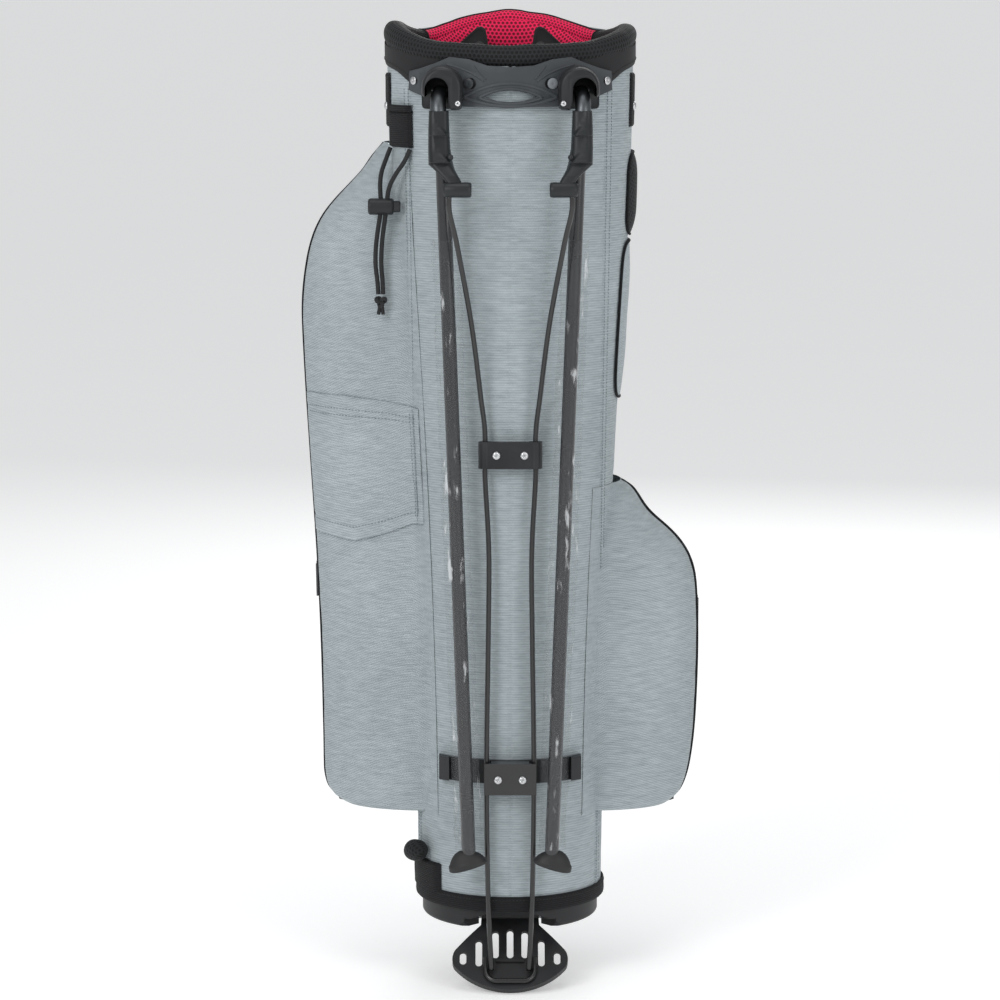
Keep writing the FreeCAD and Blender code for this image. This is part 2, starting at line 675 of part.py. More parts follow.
def zips():
    """The pockets' zip tapes."""
    return group([zip_tape(LEFT_POCKET, -1, 140, 380), zip_tape(RIGHT_POCKET, 1, 170, 345),
                  zip_tape(BALL_POCKET, 0, 150, 380)])


def pocket_spot(sections, side, z, offset):
    """A point just above a pocket's zip, and the outward direction there."""
    for high, low in zip(sections, sections[1:]):
        if low[0] <= z <= high[0]:
            share = (z - low[0]) / (high[0] - low[0])
            reach, half, middle = [low[k] + (high[k] - low[k]) * share for k in (1, 2, 3)]
    a, b = tube_at(z)
    root = (a if side else b) - 12
    across = ZIP_SIDE - middle if side else ZIP_FAR_X
    depth = reach - root
    out = depth * math.sqrt(1 - (across / half) ** 2)
    if side:
        normal = Vector(side * out / depth ** 2, across / half ** 2, 0).normalize()
        return Vector(side * (root + out), ZIP_SIDE, z) + normal * offset, normal
    normal = Vector(across / half ** 2, out / depth ** 2, 0).normalize()
    return Vector(ZIP_FAR_X, root + out, z) + normal * offset, normal


def slider(sections, side, high, low):
    """A zip slider with its pull hanging from it, closed at the zip's upper end."""
    above = ZIP_LIFT + ZIP_THICK + ZIP_SLIDER_GAP
    start, normal = pocket_spot(sections, side, high, above)
    run = pocket_spot(sections, side, low, above)[0] - start
    print("zip slide from", tuple(round(c, 2) for c in start), "by", tuple(round(c, 2) for c in run))
    body = box((-3.5, 3.5), (0.0, 3.6), (-6, 6))
    pull = box((-2.2, 2.2), (3.6, 5.4), (-30, 3))
    shape = body.fuse(pull).removeSplitter()
    lean = math.degrees(math.atan2(run.dot(normal), -run.z))
    shape.rotate(Vector(0, 0, 0), Vector(1, 0, 0), lean)
    shape.rotate(Vector(0, 0, 0), Vector(0, 0, 1), math.degrees(math.atan2(-normal.x, normal.y)))
    shape.translate(start)
    return shape


def upper_pocket():
    """The flat pocket on the upper right side."""
    outline = box((70, 160), (-36, 74), (522, 676))
    upright = [e for e in outline.Edges if abs(e.tangentAt(0).x) > 0.9]
    return layer(SKIN_GAP, 4.4).common(outline.makeFillet(22, upright))


def hip_pad():
    """The mesh pad above it."""
    outline = box((60, 160), (-30, 80), (682, 763))
    upright = [e for e in outline.Edges if abs(e.tangentAt(0).x) > 0.9]
    return layer(SKIN_GAP, 5.6).common(outline.makeFillet(25, upright))


def shoulder_straps():
    """The two padded straps that hang on the far side."""
    strap = layer(1.0, 13.0).common(box((14, 64), (30, 160), (484, 800)))
    return both_sides(strap)


def side_tab():
    """The strap anchor on the bag's side."""
    return layer(SKIN_GAP, 2.9).common(box((90, 140), (-29, -7), (788, 840))).cut(side_rivet())


def side_rivet():
    """The rivet through a strap anchor."""
    return surface_stud(118.6, 808, 4.0, SKIN_GAP, 5.2)


def webbing_tab():
    """The ribbed tab that holds the elastic cord."""
    return layer(SKIN_GAP, 5.2).common(box((-115.5, -94), (-90, -31), (769, 810)))


def grab_handle():
    """The soft handle low on the left, a fat roll."""
    normal = tube_normal(-84, 71)
    spot = Vector(-84, tube_y(-84, 71), 71) + normal * 12.5
    along = Vector(-normal.y, normal.x, 0)
    ends = [spot - along * 11, spot + along * 11]
    roll = rod(ends[0], ends[1], 11)
    return roll.makeFillet(5, roll.Edges[:1] + roll.Edges[2:])


def grab_webbing():
    """The webbing that ties the handle to the base's binding."""
    return layer(2.3, 4.6).common(box((-93, -68), (-90, 0), (30, 59.5)))


# ---------------------------------------------------------------- elastic cord
def cord_knot():
    """The knot that ties both strands."""
    bead = Part.makeSphere(7.2, Vector(-125.9, -55.5, 620.2))
    shape = bead.common(box((-140, -110), (-62, -49), (605, 626.9)))
    tail = rod((-125.9, -55.5, 616), (-126.5, -55.5, 607), CORD_D / 2)
    return shape.fuse(tail).removeSplitter()


def cord_lock():
    """The lock's barrel, with two holes for the strands and a socket for its button."""
    y = CORD_OUTER[4][1]
    barrel = rod((LOCK_X[0], y, LOCK_Z), (LOCK_X[1], y, LOCK_Z), LOCK_R)
    barrel = barrel.makeFillet(2.5, barrel.Edges)
    for path in (CORD_OUTER, CORD_INNER):
        barrel = barrel.cut(wire_rod(path, CORD_D / 2))
    socket = rod((LOCK_X[1] + 1, y, LOCK_Z), (LOCK_X[1] - 3.6, y, LOCK_Z), BUTTON_R + RUNNING_GAP)
    return max(barrel.cut(socket).Solids, key=lambda solid: solid.Volume)


def lock_button():
    """The button on the lock's right end."""
    y = CORD_OUTER[4][1]
    knob = rod((LOCK_X[1] - 0.4, y, LOCK_Z), (LOCK_X[1] + BUTTON_OUT, y, LOCK_Z), BUTTON_R)
    return knob.makeFillet(1.5, [e for e in knob.Edges if e.CenterOfMass.x > LOCK_X[1] + 3])


# ---------------------------------------------------------------- parts
def build():
    """Every part by name."""
    parts = {
        "base_shell": base_shell(), "base_binding": base_binding(), "bag_skin": bag_skin(),
        "collar_frame": collar_frame(), "collar_pad": collar_pad(), "collar_skirt": collar_skirt(),
        "collar_lining": collar_lining(), "divider_bars": divider_bars(), "divider_tabs": divider_tabs(),
        "divider_panels": divider_panels(), "stays": stays(),
        "stand_bracket": bracket(), "bracket_rivets": bracket_rivets(), "bracket_studs": bracket_studs(),
        "hood_right": hood(), "hood_left": mirror(hood()), "hood_screws": both_sides(hood_screw()),
        "pivot_pins": both_sides(pivot_pin(PIVOT_PIN_R)),
        "strap_tabs": both_sides(side_tab()), "side_rivets": both_sides(side_rivet()),
        "webbing_tab": webbing_tab(), "grab_handle": grab_handle(), "grab_webbing": grab_webbing(),
        "cord_knot": cord_knot(), "cord_lock": cord_lock(), "cord_lock_button": lock_button(),
        "guide_plate": guide_plate(), "guide_screws": guide_screws(), "leg_rest": leg_rest(),
        "left_pocket": pocket(LEFT_POCKET, -1), "left_pocket_band": left_band(),
        "right_pocket": pocket(RIGHT_POCKET, 1), "ball_pocket": pocket(BALL_POCKET, 0),
        "upper_pocket": upper_pocket(), "hip_pad": hip_pad(), "shoulder_straps": shoulder_straps(),
        "zip_tapes": zips(),
        "left_zip_slider": slider(LEFT_POCKET, -1, 345, 165),
        "right_zip_slider": slider(RIGHT_POCKET, 1, 310, 240),
        "ball_zip_slider": slider(BALL_POCKET, 0, 320, 240),
        "leg_lever_right": leg_lever(), "leg_lever_left": mirror(leg_lever()),
        "leg_tube_right": leg_tube(), "leg_tube_left": mirror(leg_tube()),
        "leg_foot_right": leg_foot(), "leg_foot_left": mirror(leg_foot()),
        "leg_sleeve_right": leg_sleeve(), "leg_sleeve_left": mirror(leg_sleeve()),
        "push_rods": both_sides(push_rod()), "rod_clamp": rod_clamp(), "clamp_screws": clamp_screws(),
        "rod_top_right": rod_top(), "rod_top_left": mirror(rod_top()),
        "pedal": pedal(), "pedal_keeper": pedal_keeper(), "pedal_pin": pedal_pin(),
    }
    for name, route in (("cord_strand_outer", CORD_OUTER), ("cord_strand_inner", CORD_INNER)):
        path, radii = rounded_path(route)
        parts[name] = wire_rod(route, CORD_D / 2)
        ratio = parts[name].Volume / (math.pi * CORD_D ** 2 / 4 * path.Length)
        print(name, "length %.1f, least radius %.0f, volume ratio %.3f" % (path.Length, min(radii), ratio))
    return parts


def main():
    os.makedirs("parts", exist_ok=True)
    for name, shape in build().items():
        shape.exportStep("parts/%s.step" % name)
        print("%-20s solids %d valid %s volume %.1f cm3" % (
            name, len(shape.Solids), shape.isValid(), shape.Volume / 1000))


main()
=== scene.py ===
"""The looks of a golf stand bag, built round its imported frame.  Units are metres.

+Z is up, -Y is the side with the legs.  Round the bag, an angle of 0 is the middle of the leg side
and it grows towards +X.
"""
import math

import bpy
import numpy as np
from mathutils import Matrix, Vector, noise
from mathutils.bvhtree import BVHTree


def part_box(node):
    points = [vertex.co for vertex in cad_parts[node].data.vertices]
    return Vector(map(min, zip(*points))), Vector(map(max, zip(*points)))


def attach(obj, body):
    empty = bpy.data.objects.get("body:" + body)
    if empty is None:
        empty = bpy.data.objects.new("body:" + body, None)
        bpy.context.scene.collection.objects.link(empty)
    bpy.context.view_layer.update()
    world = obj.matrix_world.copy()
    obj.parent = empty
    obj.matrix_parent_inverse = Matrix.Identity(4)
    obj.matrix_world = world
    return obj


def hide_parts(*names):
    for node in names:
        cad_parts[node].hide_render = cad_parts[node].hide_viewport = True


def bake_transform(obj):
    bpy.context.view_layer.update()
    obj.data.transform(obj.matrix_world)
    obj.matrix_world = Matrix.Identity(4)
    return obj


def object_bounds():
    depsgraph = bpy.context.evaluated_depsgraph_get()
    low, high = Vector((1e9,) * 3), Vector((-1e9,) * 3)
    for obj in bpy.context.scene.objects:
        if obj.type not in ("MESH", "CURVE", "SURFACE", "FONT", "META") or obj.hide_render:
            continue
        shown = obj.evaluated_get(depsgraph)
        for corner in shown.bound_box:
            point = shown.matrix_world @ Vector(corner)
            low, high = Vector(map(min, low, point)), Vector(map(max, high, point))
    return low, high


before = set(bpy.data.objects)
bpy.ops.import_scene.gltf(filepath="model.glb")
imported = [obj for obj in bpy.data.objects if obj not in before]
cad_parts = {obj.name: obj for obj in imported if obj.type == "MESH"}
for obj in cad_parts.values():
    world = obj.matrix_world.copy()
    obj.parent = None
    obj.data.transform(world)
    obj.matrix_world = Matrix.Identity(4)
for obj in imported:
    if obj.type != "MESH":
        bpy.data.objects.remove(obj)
CAD_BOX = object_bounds()

MM = 0.001
SIDES = ((1, "right"), (-1, "left"))
CAMERA_PLACE = (-0.010, -3.600, 0.930)
CAMERA_DOWN = math.radians(8.11)
CAMERA_LENS = 131.5
CAMERA_SENSOR = 36.0

CORD_THICK = 0.0044
CORD_OUTER = [(-116.5, -33.5, 768.2), (-121, -36, 757), (-126, -43, 743), (-126.5, -50, 728),
              (-124.8, -53, 712), (-127.5, -54, 696), (-130.5, -54.5, 676), (-131.2, -55, 655),
              (-129, -55.5, 640), (-128.2, -55.5, 627)]
CORD_INNER = [(-97, -64, 767.8), (-101, -64.5, 757), (-111, -61, 744), (-118.5, -56, 729),
              (-119.8, -53, 712), (-122.3, -54, 696), (-124.8, -54.5, 676), (-125.6, -55, 655),
              (-124, -55.5, 640), (-123.6, -55.5, 627)]


# ---------------------------------------------------------------- small helpers
def mm(x, y, z):
    """A point given in millimetres."""
    return (x * MM, y * MM, z * MM)


def turns(count):
    """Angles evenly round a circle."""
    return np.linspace(0, 2 * math.pi, count, endpoint=False)


def squared(value, power):
    """A value's size raised to a power, with its sign kept; it squares off a circle."""
    return math.copysign(abs(value) ** power, value)


def bell(away, width, power=2):
    """1 at 0, falling to nothing past the width."""
    return np.exp(-(away / width) ** power)


def ramp(value, width):
    """0 to 1 over the width, then 1."""
    return np.clip(value / width, 0, 1)


def runs(path):
    """The distance along a line at each of its points."""
    return np.concatenate([[0], np.cumsum(np.linalg.norm(np.diff(path, axis=0), axis=1))])


# ---------------------------------------------------------------- camera, light and floor
def make_camera():
    """The view from the leg side, a little above the bag."""
    data = bpy.data.cameras.new("camera")
    data.sensor_width = CAMERA_SENSOR
    data.lens = CAMERA_LENS
    data.clip_end = 2000
    camera = bpy.data.objects.new("camera", data)
    camera.location = CAMERA_PLACE
    camera.rotation_euler = (math.pi / 2 - CAMERA_DOWN, 0, 0)
    bpy.context.scene.collection.objects.link(camera)
    bpy.context.scene.camera = camera


def area_light(name, place, target, size, power, colour=(1, 1, 1)):
    data = bpy.data.lights.new(name, "AREA")
    data.shape = "RECTANGLE"
    data.size, data.size_y = size
    data.energy = power
    data.color = colour
    lamp = bpy.data.objects.new(name, data)
    lamp.location = place
    lamp.rotation_euler = (Vector(target) - Vector(place)).to_track_quat("-Z", "Y").to_euler()
    bpy.context.scene.collection.objects.link(lamp)


def make_lights():
    """A plain studio: a pale world and four soft lamps."""
    world = bpy.data.worlds.new("studio")
    world.use_nodes = True
    background = world.node_tree.nodes["Background"]
    background.inputs["Color"].default_value = (0.97, 0.985, 1.0, 1)
    background.inputs["Strength"].default_value = 0.45
    bpy.context.scene.world = world
    bpy.context.scene.view_settings.view_transform = "Standard"
    area_light("key", (-1.6, -2.6, 2.0), (0, 0, 0.55), (1.1, 1.6), 38)
    area_light("fill", (1.9, -2.3, 1.3), (0, 0, 0.45), (0.9, 1.5), 18)
    area_light("top", (0.0, -0.4, 2.6), (0, 0, 0.8), (1.2, 1.2), 10)
    area_light("rear", (0.6, 2.8, 1.8), (0, 0, 0.5), (1.6, 1.6), 24)


def make_floor():
    """A wide level floor at the object's lowest point."""
    low = CAD_BOX[0][2] - 0.0005
    reach = 300.0
    floor = Piece("studio_floor")
    floor.grid([[(x, y, low) for x in (-reach, reach)] for y in (-reach, reach)])
    floor.done(floor_material(), None)


# ---------------------------------------------------------------- materials
class Look:
    """A node material under construction."""

    def __init__(self, name):
        self.material = bpy.data.materials.new(name)
        self.material.use_nodes = True
        self.tree = self.material.node_tree
        self.shader = self.tree.nodes["Principled BSDF"]

    def put(self, socket, value):
        if isinstance(value, bpy.types.NodeSocket):
            self.tree.links.new(value, socket)
        elif value is not None:
            socket.default_value = value

    def node(self, kind, inputs=None, **settings):
        node = self.tree.nodes.new(kind)
        for key, value in settings.items():
            setattr(node, key, value)
        for key, value in (inputs or {}).items():
            self.put(node.inputs[key], value)
        return node

    def math(self, kind, a, b=None, c=None):
        return self.node("ShaderNodeMath", dict(enumerate((a, b, c))), operation=kind).outputs[0]

    def uv(self):
        """Along and across the cloth, in metres."""
        cloth = self.node("ShaderNodeUVMap", uv_map="cloth").outputs[0]
        split = self.node("ShaderNodeSeparateXYZ", {0: cloth})
        return split.outputs[0], split.outputs[1]

    def place(self):
        return self.node("ShaderNodeTexCoord").outputs["Object"]

    def noise(self, scale, detail=3.0, rough=0.55, vector=None, stretch=None):
        vector = vector or self.place()
        if stretch:
            scaled = self.node("ShaderNodeVectorMath", {0: vector, 1: stretch}, operation="MULTIPLY")
            vector = scaled.outputs[0]
        inputs = {"Vector": vector, "Scale": scale, "Detail": detail, "Roughness": rough}
        return self.node("ShaderNodeTexNoise", inputs).outputs["Fac"]

    def between(self, value, low, high, to_low=0.0, to_high=1.0):
        inputs = {"Value": value, "From Min": low, "From Max": high, "To Min": to_low, "To Max": to_high}
        return self.node("ShaderNodeMapRange", inputs, clamp=True).outputs[0]

    def blend(self, share, a, b):
        mix = self.node("ShaderNodeMix", data_type="RGBA")
        self.put(mix.inputs["Factor"], share)
        self.put(mix.inputs["A"], a)
        self.put(mix.inputs["B"], b)
        return mix.outputs["Result"]

    def wave(self, value, pitch, shift=0.0):
        """0 to 1 and back once every pitch."""
        turn = self.math("MULTIPLY_ADD", value, 2 * math.pi / pitch, shift)
        return self.math("MULTIPLY_ADD", self.math("COSINE", turn), 0.5, 0.5)

    def bump(self, height, distance, strength=1.0, normal=None):
        inputs = {"Height": height, "Distance": distance, "Strength": strength, "Normal": normal}
        return self.node("ShaderNodeBump", inputs).outputs[0]

    def set(self, **inputs):
        for key, value in inputs.items():
            self.put(self.shader.inputs[key.replace("_", " ")], value)
        return self


def rgb(red, green, blue):
    return (red, green, blue, 1.0)


RIB_PITCH = 2.4 * MM
THREAD_PITCH = 1.6 * MM


def woven(name, light, dark):
    """Ribbed polyester: rows across, short threads up, and soft wear."""
    look = Look(name)
    u, v = look.uv()
    drift = look.noise(9.0, 2.0)
    row = look.math("FLOOR", look.math("DIVIDE", v, RIB_PITCH))
    rib = look.wave(v, RIB_PITCH, math.pi)
    shift = look.math("MULTIPLY", row, math.pi)
    turn = look.math("ADD", look.math("MULTIPLY", u, 2 * math.pi / THREAD_PITCH), shift)
    thread = look.math("MULTIPLY_ADD", look.math("COSINE", turn), 0.5, 0.5)
    slub = look.noise(260.0, 2.0, 0.6, stretch=(0.25, 0.25, 1.6))
    knot = look.math("MULTIPLY_ADD", thread, 0.45, 0.55)
    height = look.math("MULTIPLY", look.math("POWER", rib, 0.6), knot)
    tone = look.math("MULTIPLY_ADD", slub, 0.75, look.math("MULTIPLY", height, 0.4))
    tone = look.math("ADD", tone, look.math("MULTIPLY_ADD", drift, 0.3, -0.15))
    colour = look.blend(look.between(tone, 0.1, 0.95), dark, light)
    look.set(Base_Color=colour, Roughness=look.between(height, 0, 1, 0.86, 0.7))
    look.set(Normal=look.bump(height, 0.35 * MM, 0.8))
    look.set(Sheen_Weight=0.12, Sheen_Roughness=0.5, Specular_IOR_Level=0.2)
    return look.material


def spacer_mesh(name, strand, hole_shade, pitch=4.3 * MM, share=0.33):
    """Padded mesh with rows of round holes set in a triangle pattern; the holes are painted dark as shade."""
    look = Look(name)
    u, v = look.uv()
    tall = pitch * math.sqrt(3)
    nearest = None
    for move in (0.0, 0.5):
        parts = []
        for value, step in ((u, pitch), (v, tall)):
            cell = look.math("FRACT", look.math("MULTIPLY_ADD", value, 1 / step, move + 100))
            parts.append(look.math("MULTIPLY", look.math("SUBTRACT", cell, 0.5), step))
        square = look.math("ADD", *[look.math("MULTIPLY", part, part) for part in parts])
        nearest = square if nearest is None else look.math("MINIMUM", nearest, square)
    away = look.math("SQRT", nearest)
    solid = look.between(away, pitch * (share - 0.1), pitch * (share + 0.06))
    yarn = look.noise(900.0, 2.0)
    shade = look.math("MULTIPLY", solid, look.math("MULTIPLY_ADD", yarn, 0.5, 0.72))
    wide = look.noise(14.0, 2.0)
    # Painted shade: the holes get the darker colour, standing for shade inside the mesh's recesses.
    colour = look.blend(look.between(look.math("MULTIPLY_ADD", wide, 0.25, shade), 0.1, 1.15), hole_shade, strand)
    look.set(Base_Color=colour, Roughness=0.7, Normal=look.bump(solid, 0.9 * MM, 0.9))
    look.set(Sheen_Weight=0.03, Sheen_Roughness=0.4, Specular_IOR_Level=0.3)
    return look.material


def webbing(name, light, dark, pitch=1.9 * MM):
    """Ribbed tape."""
    look = Look(name)
    u, v = look.uv()
    rib = look.wave(v, pitch)
    fine = look.wave(u, 0.8 * MM)
    height = look.math("MULTIPLY", rib, look.math("MULTIPLY_ADD", fine, 0.3, 0.7))
    fuzz = look.noise(420.0, 3.0)
    colour = look.blend(look.between(look.math("MULTIPLY_ADD", fuzz, 0.6, height), 0.1, 1.5), dark, light)
    look.set(Base_Color=colour, Roughness=0.8, Normal=look.bump(height, 0.5 * MM, 0.9))
    look.set(Sheen_Weight=0.03, Specular_IOR_Level=0.25)
    return look.material


def plastic(name, colour, worn, rough=0.42, grain=0.12, edge=0.7 * MM):
    """Moulded plastic: fine grain, softened edges that shine where they wear."""
    look = Look(name)
    fine = look.noise(1500.0, 2.0)
    cloud = look.noise(22.0, 3.0)
    soft = look.node("ShaderNodeBevel", {"Radius": edge}, samples=4).outputs[0]
    point = look.node("ShaderNodeNewGeometry").outputs["Pointiness"]
    wear = look.math("MULTIPLY", look.between(point, 0.505, 0.56), look.between(cloud, 0.35, 0.65))
    tint = look.blend(look.math("MULTIPLY", cloud, 0.35), colour, worn)
    tint = look.blend(look.math("MULTIPLY", wear, 0.7), tint, worn)
    smudged = look.between(cloud, 0.3, 0.7, rough - 0.05, rough + 0.07)
    roughness = look.math("ADD", smudged, look.math("MULTIPLY", fine, 0.05))
    look.set(Base_Color=tint, Roughness=roughness, Normal=look.bump(fine, 0.05 * MM, grain * 4, soft))
    look.set(Specular_IOR_Level=0.35)
    return look.material


def metal(name, colour, rough, brushed=0.0, metallic=1.0, coat=0.0):
    """Metal or paint with faint streaks and smudges."""
    look = Look(name)
    streak = look.noise(300.0, 3.0, stretch=(1, 1, 0.15))
    smudge = look.noise(30.0, 3.0)
    dull = rgb(*[c * 0.6 for c in colour[:3]])
    tint = look.blend(look.math("MULTIPLY", smudge, 0.35), colour, dull)
    soft = look.node("ShaderNodeBevel", {"Radius": 0.3 * MM}, samples=4).outputs[0]
    look.set(Base_Color=tint, Metallic=metallic)
    look.set(Roughness=look.between(smudge, 0.3, 0.7, rough, rough + 0.14))
    look.set(Normal=look.bump(streak, 0.03 * MM, 0.3 + brushed, soft), Coat_Weight=coat, Coat_Roughness=0.12)
    return look.material


def film_material():
    """Clear crumpled film, its crease ridges painted pale as highlight streaks."""
    look = Look("clear_film")
    crease = look.noise(75.0, 3.0, 0.6, stretch=(1.6, 1.6, 0.35))
    fine = look.noise(220.0, 2.0)
    height = look.math("MULTIPLY_ADD", fine, 0.08, crease)
    # Painted highlight: the ridges are coloured pale and made more opaque, standing for light streaks on the
    # creased film.
    ridge = look.between(crease, 0.60, 0.70)
    colour = look.blend(ridge, rgb(0.20, 0.21, 0.22), rgb(0.78, 0.80, 0.82))
    look.set(Base_Color=colour, Alpha=look.math("MULTIPLY_ADD", ridge, 0.42, 0.07), Roughness=0.3)
    look.set(Normal=look.bump(height, 0.6 * MM, 0.35), Specular_IOR_Level=0.35)
    return look.material


def braided(name, light, dark):
    """Round braid, its strands crossing both ways."""
    look = Look(name)
    x, y, z = look.node("ShaderNodeSeparateXYZ", {0: look.place()}).outputs
    side = look.math("ADD", x, y)
    one = look.wave(look.math("ADD", side, z), 1.5 * MM)
    two = look.wave(look.math("SUBTRACT", side, z), 1.5 * MM)
    height = look.math("MAXIMUM", one, two)
    colour = look.blend(look.between(height, 0.3, 1.0), dark, light)
    look.set(Base_Color=colour, Roughness=0.72, Normal=look.bump(height, 0.3 * MM, 0.8), Sheen_Weight=0.03)
    return look.material


def rubber(name):
    """Black rubber, dusty in places."""
    look = Look(name)
    fine = look.noise(500.0, 3.0)
    cloud = look.noise(30.0, 3.0)
    dust = look.between(cloud, 0.45, 0.75, 0.0, 0.35)
    colour = look.blend(dust, rgb(0.012, 0.012, 0.013), rgb(0.05, 0.05, 0.05))
    look.set(Base_Color=colour, Roughness=look.between(cloud, 0.3, 0.7, 0.5, 0.75))
    look.set(Normal=look.bump(fine, 0.12 * MM, 0.5))
    return look.material


def lining_cloth(name, light, dark):
    """Fine plain cloth."""
    look = Look(name)
    fine = look.noise(700.0, 2.0, stretch=(1, 1, 0.4))
    cloud = look.noise(12.0, 3.0)
    colour = look.blend(look.math("MULTIPLY_ADD", cloud, 0.5, look.math("MULTIPLY", fine, 0.5)), dark, light)
    look.set(Base_Color=colour, Roughness=0.85, Normal=look.bump(fine, 0.2 * MM, 0.6), Sheen_Weight=0.04)
    return look.material


def floor_material():
    look = Look("studio_floor")
    cloud = look.noise(1.5, 2.0)
    look.set(Base_Color=look.blend(cloud, rgb(0.90, 0.90, 0.90), rgb(0.92, 0.92, 0.92)), Roughness=0.8)
    look.set(Emission_Color=rgb(1, 1, 1), Emission_Strength=0.3, Specular_IOR_Level=0.1)
    return look.material


# ---------------------------------------------------------------- shapes
class Piece:
    """A mesh under construction, made of grids of points, with cloth coordinates in metres."""

    def __init__(self, name):
        self.name = name
        self.points, self.faces, self.uvs, self.kinds = [], [], [], []
        self.count = 0

    def grid(self, points, around=False, kind=0, caps=False, uv=None):
        """A sheet of rows of points; around joins each row's end to its start."""
        points = np.asarray(points, float)
        rows, cols = points.shape[:2]
        closed = np.concatenate([points, points[:, :1]], 1) if around else points
        if uv is None:
            across = np.cumsum(np.linalg.norm(np.diff(closed, axis=1), axis=2), 1)
            across = np.concatenate([np.zeros((rows, 1)), across], 1)
            across -= across[:, closed.shape[1] // 2][:, None]
            up = np.cumsum(np.linalg.norm(np.diff(closed, axis=0), axis=2), 0)
            up = np.concatenate([np.zeros((1, closed.shape[1])), up], 0)
            uv = np.stack([across, up], 2)
        base = self.count
        for r in range(rows - 1):
            for c in range(closed.shape[1] - 1):
                here, d = base + r * cols, (c + 1) % cols
                self.faces.append((here + c, here + d, here + cols + d, here + cols + c))
                self.uvs.append((uv[r, c], uv[r, c + 1], uv[r + 1, c + 1], uv[r + 1, c]))
                self.kinds.append(kind)
        if caps:
            for r, order in ((0, -1), (rows - 1, 1)):
                ring = list(range(cols))[::order]
                self.faces.append(tuple(base + r * cols + c for c in ring))
                self.uvs.append([uv[r, c] for c in ring])
                self.kinds.append(kind)
        self.points.append(points.reshape(-1, 3))
        self.count += rows * cols
        return self

    def done(self, materials, body="bag", slot=None, replaces=(), smooth=True):
        mesh = bpy.data.meshes.new(self.name)
        mesh.from_pydata(np.concatenate(self.points).tolist(), [], self.faces)
        layer = mesh.uv_layers.new(name="cloth")
        flat = np.array([uv for face in self.uvs for uv in face], float)
        layer.data.foreach_set("uv", flat.ravel())
        mesh.polygons.foreach_set("material_index", self.kinds)
        mesh.polygons.foreach_set("use_smooth", [smooth] * len(self.faces))
        for material in materials if isinstance(materials, (list, tuple)) else [materials]:
            mesh.materials.append(material)
        mesh.update()
        thing = bpy.data.objects.new(self.name, mesh)
        bpy.context.scene.collection.objects.link(thing)
        return settle(thing, body, replaces)


def settle(thing, body, replaces=()):
    """Tells the frame what a piece rides on and stands for."""
    if body:
        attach(thing, body)
    if replaces:
        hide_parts(*replaces)
    return thing


TREES = {}


def tree(node):
    """The CAD node's surface, for casting rays."""
    if node not in TREES:
        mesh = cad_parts[node].data
        TREES[node] = BVHTree.FromPolygons([vertex.co.copy() for vertex in mesh.vertices],
                                           [tuple(face.vertices) for face in mesh.polygons])
    return TREES[node]


def hit(node, start, toward):
    """Where a ray first meets a CAD node, or None."""
    return tree(node).ray_cast(Vector(start), (Vector(toward) - Vector(start)).normalized())[0]


SKIN_LOW, SKIN_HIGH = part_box("bag_skin")
PROFILE_Z = np.linspace(SKIN_LOW.z + MM, SKIN_HIGH.z - 22 * MM, 60)
PROFILE_A = np.array([hit("bag_skin", (1, 0, z), (0, 0, z)).x for z in PROFILE_Z])
PROFILE_B = np.array([hit("bag_skin", (0, 1, z), (0, 0, z)).y for z in PROFILE_Z])
PAD_LOW, PAD_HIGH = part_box("collar_pad")
COLLAR_SLOPE = 0.152
COLLAR_MID = (PAD_LOW.z + PAD_HIGH.z) / 2


def tube_size(z):
    """The tube's half width and half depth at a height."""
    return np.interp(z, PROFILE_Z, PROFILE_A), np.interp(z, PROFILE_Z, PROFILE_B)


def on_tube(angle, z, lift=0.0):
    """A point on the tube, moved out by lift."""
    a, b = tube_size(z)
    return np.stack(np.broadcast_arrays((a + lift) * np.sin(angle), -(b + lift) * np.cos(angle), z), -1)


def way_out(angle, z):
    """A direction straight out of the tube."""
    return on_tube(angle, z, 1.0) - on_tube(angle, z)


def angle_at(x, z):
    """The angle on the leg side where the tube is x wide."""
    return np.arcsin(np.clip(x / tube_size(z)[0], -1, 1))


def rough(points, size, depth, seed=0.0, stretch=(1, 1, 1)):
    """Soft noise, one value a point."""
    flat = np.asarray(points).reshape(-1, 3)
    shift = Vector((seed * 3.1, seed * 1.7, seed * 2.3))
    values = [noise.noise(Vector([c * s for c, s in zip(point, stretch)]) / size + shift) for point in flat]
    return depth * np.array(values).reshape(np.asarray(points).shape[:-1])


def normals_of(points, around=False):
    """Unit normals of a grid; they point to the right of along, seen from the rows' growth."""
    if around:
        wide = np.concatenate([points[:, -1:], points, points[:, :1]], 1)
        across = wide[:, 2:] - wide[:, :-2]
    else:
        across = np.gradient(points, axis=1)
    up = np.gradient(points, axis=0)
    normal = np.cross(across, up)
    return normal / np.maximum(np.linalg.norm(normal, axis=2, keepdims=True), 1e-12)


def frames_along(path, up=(0, 0, 1), closed=False):
    """Two directions across a path at each of its points, turning as little as possible."""
    path = np.asarray(path, float)
    if closed:
        along = np.roll(path, -1, 0) - np.roll(path, 1, 0)
    else:
        along = np.gradient(path, axis=0)
    along /= np.linalg.norm(along, axis=1, keepdims=True)
    side = np.cross(np.array(up, float), along[0])
    if np.linalg.norm(side) < 1e-6:
        side = np.cross((0, 1, 0), along[0])
    sides = []
    for step in along:
        side = side - step * side.dot(step)
        side /= np.linalg.norm(side)
        sides.append(side.copy())
    sides = np.array(sides)
    return sides, np.cross(along, sides)


